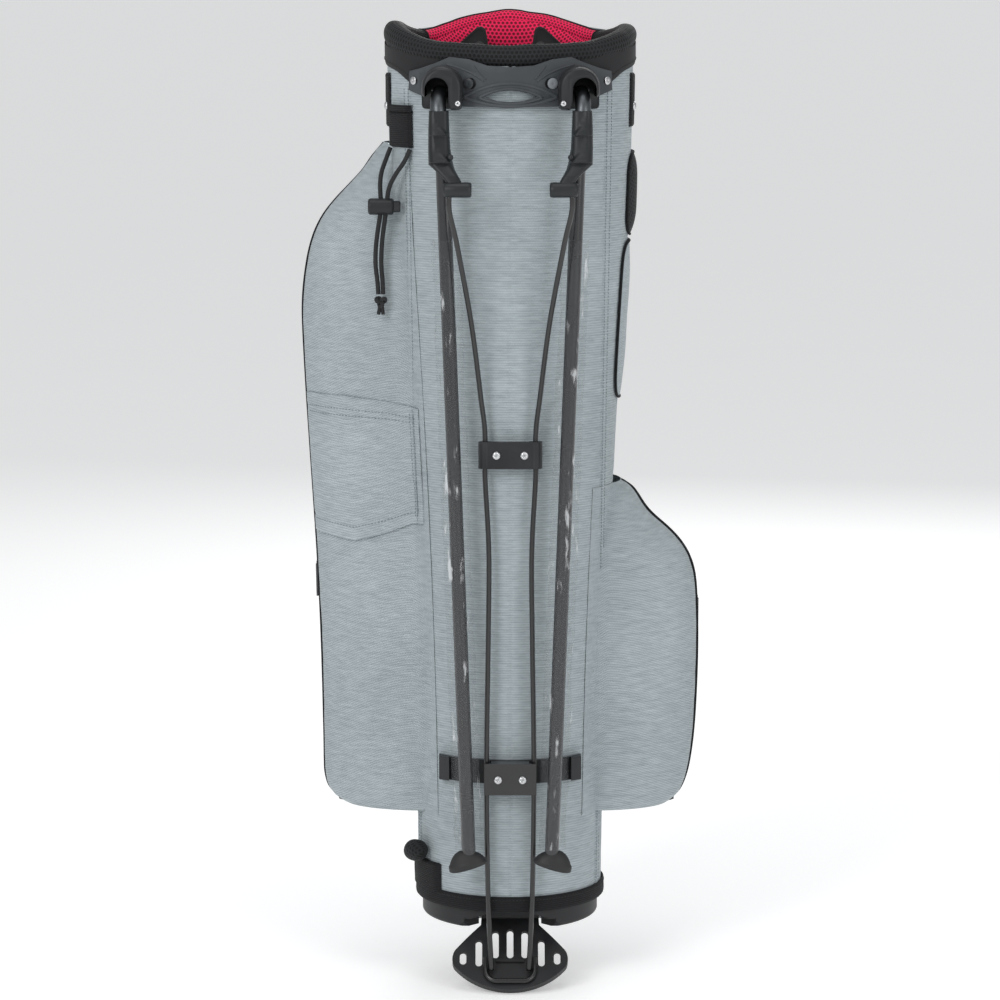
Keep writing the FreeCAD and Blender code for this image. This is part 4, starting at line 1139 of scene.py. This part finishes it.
def make_grab(mesh_cloth, tape):
    """The fat soft handle and the webbing that holds it."""
    low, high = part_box("grab_handle")
    centre = np.array((low + high) / 2)
    angle = math.atan2(centre[0] / 93, -centre[1] / 92)
    along = np.array((math.cos(angle), math.sin(angle), 0))
    out = np.array((math.sin(angle), -math.cos(angle), 0))
    centre = centre - out * 1.2 * MM
    spots = np.linspace(-1, 1, 40)
    path = centre + along * (spots[:, None] * 14.5 * MM) - out * (spots[:, None] ** 2 * 5 * MM)
    path[:, 2] += 2.5 * MM * spots
    sizes = []
    for share in (1 - np.abs(spots) ** 3.2) ** 0.5:
        sizes.append(ring(max(0.3 * MM, 10.2 * MM * share), 26, max(0.3 * MM, 10.8 * MM * share)))
    grid = swept(path, sizes)
    grid = grid + rough(grid, 0.012, 0.8 * MM, 41)[..., None] * out
    roll = Piece("grab_roll")
    roll.grid(grid, around=True, caps=True)
    roll.done(mesh_cloth, "bag", "black_mesh", ["grab_handle"])
    low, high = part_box("grab_webbing")
    first, last = angle_at(np.array((low.x + 0.3 * MM, high.x)), 0.045)
    strap = Piece("grab_tape")
    angles = np.linspace(first, last, 14)
    strip_on_tube(strap, angles, low.z, high.z + 2 * MM, 3.8 * MM, 3.2 * MM, 20, 0.6 * MM)
    strap.done(tape, "bag", "black_webbing", ["grab_webbing"])


def make_strap_tabs(tape, metal_look):
    """The webbing anchors at the tube's sides, each with a rivet."""
    tabs, rivets = Piece("side_tabs"), Piece("side_rivet_heads")
    low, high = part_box("strap_tabs")
    for side in (-1, 1):
        angles = np.linspace(side * (math.pi / 2 - 0.265), side * (math.pi / 2 - 0.075), 12)
        strip_on_tube(tabs, angles[::side], low.z, high.z, 1.7 * MM, 1.2 * MM, 26, 0.3 * MM, 12 + side)
        angle = side * (math.pi / 2 - 0.175)
        spot = on_tube(angle, SIDE_RIVET_Z, 1.6 * MM)
        dome_head(rivets, spot, way_out(angle, SIDE_RIVET_Z), 4.2 * MM, 2.6 * MM)
    tabs.done(tape, "bag", "black_webbing", ["strap_tabs"])
    rivets.done(metal_look, "bag", "silver_screw", ["side_rivets"])


def make_screws(metal_look):
    """The domed heads of the screws and rivets, one pair for each CAD node."""
    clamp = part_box("clamp_screws")[0].y / MM + 2.1
    for name, body, node, x, y, z, radius, height in (
            ("guide_screw_heads", "bag", "guide_screws", 12, -112.4, 157, 3.9, 2.0),
            ("clamp_screw_heads", "push_rods", "clamp_screws", 13.5, clamp, 476, 3.9, 2.0),
            ("bracket_rivet_heads", "bag", "bracket_rivets", 88, None, 834, 4.0, 1.6),
            ("hood_screw_heads", "bag", "hood_screws", 50, -133.9, 814, 2.7, 1.6)):
        heads = Piece(name)
        for side in (-1, 1):
            if y is None:
                angle = angle_at(side * x * MM, z * MM)
                spot, out, cross = on_tube(angle, z * MM, 6.6 * MM), way_out(angle, z * MM), 0.0
            else:
                spot, out, cross = mm(side * x, y, z), (0, -1, 0), 0.5
            dome_head(heads, spot, out, radius * MM, height * MM, cross)
        heads.done(metal_look, body, "silver_screw", [node])


def make_bracket_detail(look, stud_dark, stud_painted_highlight):
    """The raised double rim round the hand slot, the curved ribs and the studs."""
    trim = Piece("bracket_ribs")

    def bead(line, radius, lift, closed=False):
        spots = np.array([on_tube(angle_at(p[0], p[2]), p[2], lift * MM) for p in line])
        tube = swept(spots, ring(radius * MM, 10), up=(0, -1, 0.1), closed=closed)
        trim.grid(tube, around=True, caps=not closed)

    for half, top, low, corner, radius, lift in ((29, 827, 813, 818.5, 1.5, 6.3),
                                                 (43, 832, 810.6, 819, 1.7, 6.2)):
        x = half * np.sin(np.linspace(-math.pi / 2, math.pi / 2, 50))
        arch = 1 - (x / half) ** 2
        upper = np.stack([x, corner + (top - corner) * arch], 1)
        lower = np.stack([x, corner + (low - corner) * arch], 1)[::-1]
        outline = np.concatenate([upper, lower[1:]])
        bead(resample([mm(px, 0, pz) for px, pz in outline], 1.2 * MM)[:-1], radius, lift, closed=True)
    for side in (-1, 1):
        for radius, points in ((0.9, [(58, 850), (45, 846), (34, 841), (24, 834)]),
                               (0.8, [(32, 849), (27, 842), (22, 836)])):
            bead(smooth_path([mm(side * x, 0, z) for x, z in points], 1.5 * MM), radius, 6.3)
    trim.done(look, "bag", "bracket_plastic")
    # The right stud gets the painted-highlight copy of the stud material; the left has the stud's own dark
    # colour.
    for side, material, name in ((-1, stud_dark, "left_stud"), (1, stud_painted_highlight, "right_stud")):
        stud = Piece(name)
        angle = angle_at(side * 38 * MM, STUD_Z)
        dome_head(stud, on_tube(angle, STUD_Z, 7.0 * MM), way_out(angle, STUD_Z), 5.2 * MM, 1.5 * MM)
        stud.done(material, "bag", "stud_plastic", ["bracket_studs"] if side < 0 else [])


# ---------------------------------------------------------------- legs and rods
# Lines and outlines here are in millimetres, for the right side.
LEG_TOP, LEG_LOW = (66, -128, 801), (40.3, -118, 78)
HOOD_X, HOOD_Z, HOOD_RADIUS, ARCH_RADIUS = 65, 829, 19.5, 11.2
HOOD_ROUNDING = [(-106, 1), (-118, 1), (-124, 0.995), (-128, 0.98), (-131, 0.955), (-133, 0.92),
                 (-134.2, 0.86), (-134.6, 0.8)]
GRIP_INNER = ((738, 742, 747, 752, 757, 764, 772, 784, 807),
              (46, 46.5, 49.5, 52.5, 54.3, 55.6, 57.0, 57.6, 58.6))
GRIP_OUTER = ((738, 742, 747, 752, 757, 772, 790, 807), (58.5, 61.5, 65.5, 71.5, 77.6, 77.9, 77.8, 77.2))
GRIP_FRONT = ((738, 747, 757, 762, 786, 806), (-161.5, -159, -153, -150.5, -142.5, -137.5))
GRIP_BACK = ((738, 747, 752, 757, 790, 807), (-152, -146, -135, -121, -119.5, -119))
GRIP_LOBES = (759, 784, 807)
BARREL_X = 50.3
BARREL_STEPS = [(-13.5, 4.2), (-13.4, 6.0), (-12.4, 7.0), (-10, 7.3), (0, 7.2), (10, 7.0), (12.4, 6.2),
                (13.4, 4.8), (13.5, 2)]
NECK_LINE = [(66.5, -112, 824), (68.3, -121, 819), (68.6, -127, 810), (68, -129, 800)]
FOOT_STEPS = [(0.0, 0.0, 0.55), (0.5, 0.0, 0.6), (0.86, 0.0, 0.2), (0.97, 0.08, 0), (1.0, 0.24, 0),
              (0.99, 0.34, 0), (0.93, 0.4, 0), (0.9, 0.5, 0), (0.8, 0.68, 0), (0.66, 0.84, 0), (0.5, 0.95, 0),
              (0.42, 1.0, 0), (0.38, 1.0, 0)]
PEDAL_DROOP = math.radians(47)
BRICK_ROUND = 0.8
ROD_R = 2.5 * MM
ROD_LINE = [(18.3, -97, -38), (20.5, -98, 5), (22, -99.5, 50), (23, -103, 120), (23, -105, 190),
            (21.5, -106, 290),
            (20.8, -106, 380), (24.5, -106, 455), (24.5, -106, 497), (28.5, -109, 532), (37.5, -121, 605),
            (50.5, -143, 680), (57.4, -155.4, 712), (58, -157.8, 729)]


def make_rods(look):
    """The push rods, which bend just above the bridge."""
    for side, name in SIDES:
        path = smooth_path([mm(side * x, y, z) for x, y, z in ROD_LINE], 3 * MM)
        piece = Piece("push_rod_" + name)
        piece.grid(swept(path, ring(ROD_R, 16)), around=True, caps=True)
        nodes = ["rod_top_" + name] + (["push_rods"] if side > 0 else [])
        thing = piece.done(look, None, "rod_steel", nodes)
        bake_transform(thing)


def leg_line(side):
    """The leg's top and bottom centres."""
    return [np.array(mm(side * x, y, z)) for x, y, z in (LEG_TOP, LEG_LOW)]


def make_sleeves(look):
    """Thin clear film left on the legs, drawn tight in places and creased."""
    for side, name in SIDES:
        low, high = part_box("leg_sleeve_" + name)
        top, foot = leg_line(side)
        oval = np.array([(14.0 * MM * squared(math.cos(turn), 0.9),
                          8.0 * MM * squared(math.sin(turn), 1.15), 0) for turn in turns(56)])
        levels = np.linspace(high.z, low.z, 260)
        centres = top + (foot - top) * ((top[2] - levels) / (top[2] - foot[2]))[:, None]
        rows = centres[:, None] + oval[None]
        centres = rows.mean(1, keepdims=True)
        ridge = np.abs(rough(rows, 0.016, 1.0, 51 + side, (1.6, 1.6, 0.33)))
        crease = 1.7 * MM * (0.5 - 2.0 * ridge)
        away = rows - centres
        reach = np.linalg.norm(away, axis=2, keepdims=True)
        rows = centres + away * np.clip(1 + crease[..., None] / reach - 0.04, 7.3 * MM / reach, 1.09)
        sleeve = Piece("film_sleeve_" + name)
        sleeve.grid(rows, around=True)
        thing = sleeve.done(look, name + "_leg", "clear_film", ["leg_sleeve_" + name])


def make_feet(look):
    """Rubber hoofs with a rim round a sole that rises inwards."""
    for side, name in SIDES:
        low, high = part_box("leg_foot_" + name)
        middle, half = (low + high) / 2, (high - low) / 2
        rows = []
        for scale, rise, hollow in FOOT_STEPS:
            line = []
            for turn in turns(48):
                x, y = math.cos(turn) * scale, math.sin(turn) * scale
                slope = -side * x * 0.5 * (1 - rise) * 11 * MM
                level = low.z + (high.z - low.z) * (0.30 * (1 - rise) + rise * 0.98) + slope + hollow * 2 * MM
                lean = side * 1.5 * MM * (rise - 0.5)
                line.append((middle.x + half.x * x + lean, middle.y + half.y * y, level))
            rows.append(line)
        hoof = Piece("rubber_foot_" + name)
        hoof.grid(rows[::-1], around=True, caps=True)
        hoof.done(look, name + "_leg", "foot_rubber", ["leg_foot_" + name])


def make_hoods(look):
    """Domed housings, each with an arch cut in its front's lower edge for the leg's neck."""
    dome = [(HOOD_RADIUS * math.cos(t), HOOD_RADIUS * math.sin(t)) for t in np.linspace(math.pi, 0, 37)]
    outer = [(HOOD_RADIUS, z) for z in np.linspace(-3, -17, 6)] + [(18.6, -19.6), (17.2, -20.6)]
    short = [(HOOD_RADIUS, z) for z in np.linspace(-3, -6, 4)] + [(19.0, -7.8), (17.6, -9.0)]
    notch = [(16.2, z) for z in np.linspace(-9.0, -3, 4)]
    notch += [(5.0 + ARCH_RADIUS * math.cos(t), -2.0 + ARCH_RADIUS * math.sin(t))
              for t in np.linspace(0.1, math.pi - 0.1, 21)]
    notch += [(-6.2, z) for z in np.linspace(-3, -14, 5)] + [(-7.2, -19), (-9.5, -21.6)]
    flat = [(x, -21) for x in np.linspace(14.8, -9.5, len(notch))]
    inner = [(-13, -21.8), (-17, -21.4), (-19.0, -19.5)]
    inner += [(-HOOD_RADIUS, z) for z in np.linspace(-17, -3, 6)]
    whole = np.array(dome + outer + flat + inner)
    cut = np.array(dome + short + notch + inner)
    moving = np.array([1.0] * len(dome + short) + [0.0] * len(notch) + [1.0] * len(inner))[:, None]
    middle = np.array((0.0, 0.5))
    for side, name in SIDES:
        def ringed(outline, y):
            return [mm(side * (HOOD_X + px), y, HOOD_Z + pz) for px, pz in outline]
        hood = Piece("pivot_hood_" + name)
        hood.grid([ringed(whole, -88), ringed(whole, -106)], around=True, caps=True)
        rows = [ringed(middle + (cut - middle) * (1 - (1 - scale) * moving), y) for y, scale in HOOD_ROUNDING]
        hood.grid(rows, around=True, caps=True)
        hood.done(look, "bag", "bracket_plastic", ["hood_" + name])


def grip_row(z):
    """The grip's outline at a height, scalloped in front, on the right side and in millimetres."""
    edges = GRIP_INNER, GRIP_OUTER, GRIP_FRONT, GRIP_BACK
    inner, outer, front, back = (np.interp(z, *edge) for edge in edges)
    low, middle, high = GRIP_LOBES
    part = (z - middle) / (high - middle) if z >= middle else (z - low) / (middle - low)
    edge = 0.62 * math.sin(math.pi * 0.5 * np.clip(part, 0, 1))
    rise = 2.6 * bell(z - (middle if z > middle else low), 9) + 0.9
    line = []
    for turn in turns(60):
        c, w = math.cos(turn), math.sin(turn)
        x = (inner + outer) / 2 + (outer - inner) / 2 * squared(c, 0.55)
        y = (front + back) / 2 + (back - front) / 2 * squared(w, 0.55)
        if w < 0 and z > low:
            share = np.clip((x - inner) / (outer - inner), 0, 1)
            y -= rise * abs(w) ** 0.5 * np.clip((share - edge) / 0.10, 0, 1)
        line.append((x, y))
    return line


def make_levers(look, neck_look):
    """The grips on the legs' top ends: scalloped lobes, a curved arm and a barrel for the rod."""
    levels = np.concatenate([np.linspace(807, 747, 121), np.linspace(746.5, 738.5, 17)])
    outlines = [grip_row(z) for z in levels]
    for side, name in SIDES:
        lever = Piece("leg_grip_" + name)
        rows = [[mm(side * x, y, z) for x, y in line][::side] for line, z in zip(outlines, levels)]
        lever.grid(rows, around=True, caps=True)
        ball = []
        for turn in np.linspace(0, math.pi, 14):
            reach, rise = 3.1 * math.sin(turn), 3.1 * math.cos(turn)
            ball.append([mm(side * (57.0 + reach * math.cos(t)), -149 + reach * math.sin(t), 764 + rise)
                         for t in turns(22)])
        lever.grid(ball, around=True)

        def disc(x, radius):
            return [mm(side * x, -158 + radius * math.sin(t), 734 + radius * math.cos(t)) for t in turns(40)]
        pit = [disc(BARREL_X - 13.4 + depth, radius)
               for depth, radius in ((6, 0.3), (6, 3.6), (0.2, 3.9), (-0.1, 4.3))]
        lever.grid(pit + [disc(BARREL_X + x, radius) for x, radius in BARREL_STEPS], around=True)
        lever.grid([disc(63.8, radius) for radius in (2.0, 0.05)], around=True)
        lever.done(look, name + "_leg", "black_plastic", ["leg_lever_" + name])
        neck = Piece("leg_neck_" + name)
        path = smooth_path([mm(side * x, y, z) for x, y, z in NECK_LINE], 1 * MM)
        neck.grid(swept(path, ring(7.6 * MM, 30)), around=True, caps=True)
        neck.done(neck_look, name + "_leg", "black_plastic")


def make_pedal_housing(look):
    """The block and lugs that hold the rods' lower ends on the pedal."""
    hinge = np.array((0, -48, 5)) * MM
    cos, sin = math.cos(PEDAL_DROOP), math.sin(PEDAL_DROOP)
    block = Piece("pedal_housing")

    def brick(x0, x1, s0, s1, u0, u1):
        """A block on the pedal, rounded on top; s runs along the pedal and u out of it."""
        rows = []
        for up, inset in ((u0, 0), (u1 - BRICK_ROUND, 0), (u1 - 0.2, 0.3), (u1, BRICK_ROUND)):
            rows.append([hinge + np.array((x, -s * cos + up * sin, -s * sin + up * cos)) * MM
                         for x, s in ((x0 + inset, s0 + inset), (x1 - inset, s0 + inset),
                                      (x1 - inset, s1 - inset), (x0 + inset, s1 - inset))])
        block.grid(rows, around=True, caps=True)
    brick(-12.5, 12.5, 65, 79, 1.5, 8.5)
    brick(-10.5, 10.5, 55.5, 65.5, 1.5, 4.2)
    for side in (-1, 1):
        for x, half, near, top in ((18.3, 5.7, 70.5, 6.8), (23.2, 0.9, 60, 8.0), (13.2, 0.9, 60, 8.0)):
            brick(side * x - half, side * x + half, near, 77, 1.5, top)
    block.done(look, "pedal", "base_plastic", smooth=False)


def dress(material, *nodes):
    """Gives CAD nodes that stay their material."""
    for node in nodes:
        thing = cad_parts[node]
        thing.data.materials.clear()
        thing.data.materials.append(material)


# ---------------------------------------------------------------- everything
def main():
    """Builds everything, the camera and the cords first."""
    make_camera()
    cord_look = braided("elastic_braid", rgb(0.015, 0.0155, 0.017), rgb(0.006, 0.006, 0.007))
    make_knot(cord_look)
    make_cord("elastic_cord_outer", CORD_OUTER, "cord_strand_outer", cord_look)
    make_cord("elastic_cord_inner", CORD_INNER, "cord_strand_inner", cord_look)
    make_lights()
    make_floor()

    grey_tones = rgb(0.46, 0.515, 0.54), rgb(0.20, 0.235, 0.252)
    grey = woven("grey_ribbed_cloth", *grey_tones)
    pocket_grey = woven("grey_pocket_cloth", *grey_tones)
    grey_thread = lining_cloth("grey_thread", rgb(0.24, 0.29, 0.32), rgb(0.13, 0.16, 0.18))
    black_thread = lining_cloth("black_thread", rgb(0.03, 0.03, 0.032), rgb(0.008, 0.008, 0.009))
    # Each spacer mesh's second colour is painted shade for its holes.
    black_mesh = spacer_mesh("black_spacer_mesh", rgb(0.016, 0.017, 0.019), rgb(0.002, 0.002, 0.002))
    red_mesh = spacer_mesh("red_spacer_mesh", rgb(0.92, 0.013, 0.10), rgb(0.13, 0.001, 0.012))
    tape = webbing("black_tape", rgb(0.015, 0.0155, 0.017), rgb(0.005, 0.005, 0.006))
    plain = lining_cloth("black_cloth", rgb(0.014, 0.0145, 0.016), rgb(0.007, 0.007, 0.008))
    lining = lining_cloth("dark_lining", rgb(0.05, 0.052, 0.055), rgb(0.02, 0.02, 0.022))
    base_look = plastic("base_plastic", rgb(0.009, 0.009, 0.010), rgb(0.024, 0.025, 0.027), 0.45)
    bracket_look = plastic("bracket_plastic", rgb(0.040, 0.045, 0.050), rgb(0.075, 0.082, 0.09), 0.5, 0.22)
    black_look = plastic("black_plastic", rgb(0.011, 0.012, 0.013), rgb(0.03, 0.031, 0.034), 0.38)
    lever_look = plastic("lever_plastic", rgb(0.010, 0.012, 0.0135), rgb(0.03, 0.034, 0.037), 0.4)
    frame_look = plastic("ring_plastic", rgb(0.012, 0.012, 0.013), rgb(0.03, 0.03, 0.03), 0.5)
    stud_dark = plastic("stud_dark", rgb(0.03, 0.034, 0.038), rgb(0.06, 0.066, 0.072), 0.35)
    # Painted highlight: a pale copy of the dark stud material, used for the right stud.
    stud_painted_highlight = plastic("stud_painted_highlight", rgb(0.22, 0.24, 0.26), rgb(0.3, 0.32, 0.34), 0.35)
    steel = metal("rod_paint", rgb(0.006, 0.006, 0.007), 0.28, metallic=0.0, coat=0.4)
    leg_paint = metal("leg_paint", rgb(0.010, 0.011, 0.013), 0.22, metallic=0.0, coat=0.6)
    silver = metal("silver_screw", rgb(0.62, 0.63, 0.64), 0.22)
    pin_steel = metal("pin_steel", rgb(0.45, 0.46, 0.47), 0.3, 0.3)
    stay_metal = metal("stay_metal", rgb(0.5, 0.51, 0.52), 0.35, 0.3)
    zip_metal = metal("zip_metal", rgb(0.10, 0.10, 0.105), 0.35)
    foot_look = rubber("foot_rubber")
    film = film_material()

    make_tube(grey, lining, grey_thread)
    make_collar(black_mesh, red_mesh, tape)
    make_lining(red_mesh, tape)
    make_skirt(plain, black_thread)
    make_dividers(plain, black_thread)

    left = Pocket("left_pocket", -1, 12 * MM)
    right = Pocket("right_pocket", 1, 12 * MM)
    ball = Pocket("ball_pocket", 0, 0.0)
    make_pocket(left, "left_pocket_cloth", pocket_grey, tape, seed=60)
    make_pocket(right, "right_pocket_cloth", pocket_grey, tape, (0.111, -0.05, 0.375), 1.9 * MM, seed=70)
    make_pocket(ball, "ball_pocket_cloth", pocket_grey, tape, seed=80)
    make_band(left, pocket_grey, grey_thread)
    for pocket, name in ((left, "left"), (right, "right"), (ball, "ball")):
        make_zip(pocket, name, tape, zip_metal)

    make_patch("hip_pad_mesh", "hip_pad", math.radians(101), 0.47, 1.4 * MM, 5.5 * MM, black_mesh, tape,
               "black_mesh", seed=90)
    make_patch("upper_pocket_cloth", "upper_pocket", math.radians(99), 0.5, 1.4 * MM, 2.8 * MM, pocket_grey,
               tape, "pocket_fabric", corner=7, seed=92)
    for side, name in SIDES:
        make_patch("shoulder_strap_" + name, "shoulder_straps", math.pi - side * 0.36, 0.215, 4 * MM, 9 * MM,
                   black_mesh, tape, "strap_fabric", side > 0, corner=8, seed=94 + side, channels=5)
    make_binding(tape, black_thread)
    make_webbing_tab(tape, black_thread)
    make_grab(black_mesh, tape)
    make_strap_tabs(tape, silver)
    make_screws(silver)
    make_bracket_detail(bracket_look, stud_dark, stud_painted_highlight)
    make_hoods(black_look)
    neck_look = metal("neck_metal", rgb(0.13, 0.14, 0.15), 0.34, 0.3)
    make_levers(lever_look, neck_look)
    make_pedal_housing(base_look)
    make_rods(steel)
    make_sleeves(film)
    make_feet(foot_look)

    dress(base_look, "base_shell", "pedal")
    dress(steel, "pedal_keeper", "guide_plate")
    dress(bracket_look, "stand_bracket")
    dress(black_look, "cord_lock", "cord_lock_button", "leg_rest", "rod_clamp")
    dress(frame_look, "collar_frame")
    dress(leg_paint, "leg_tube_left", "leg_tube_right")
    dress(pin_steel, "pivot_pins", "pedal_pin")
    dress(stay_metal, "stays")
    dress(zip_metal, "left_zip_slider", "right_zip_slider", "ball_zip_slider")


main()
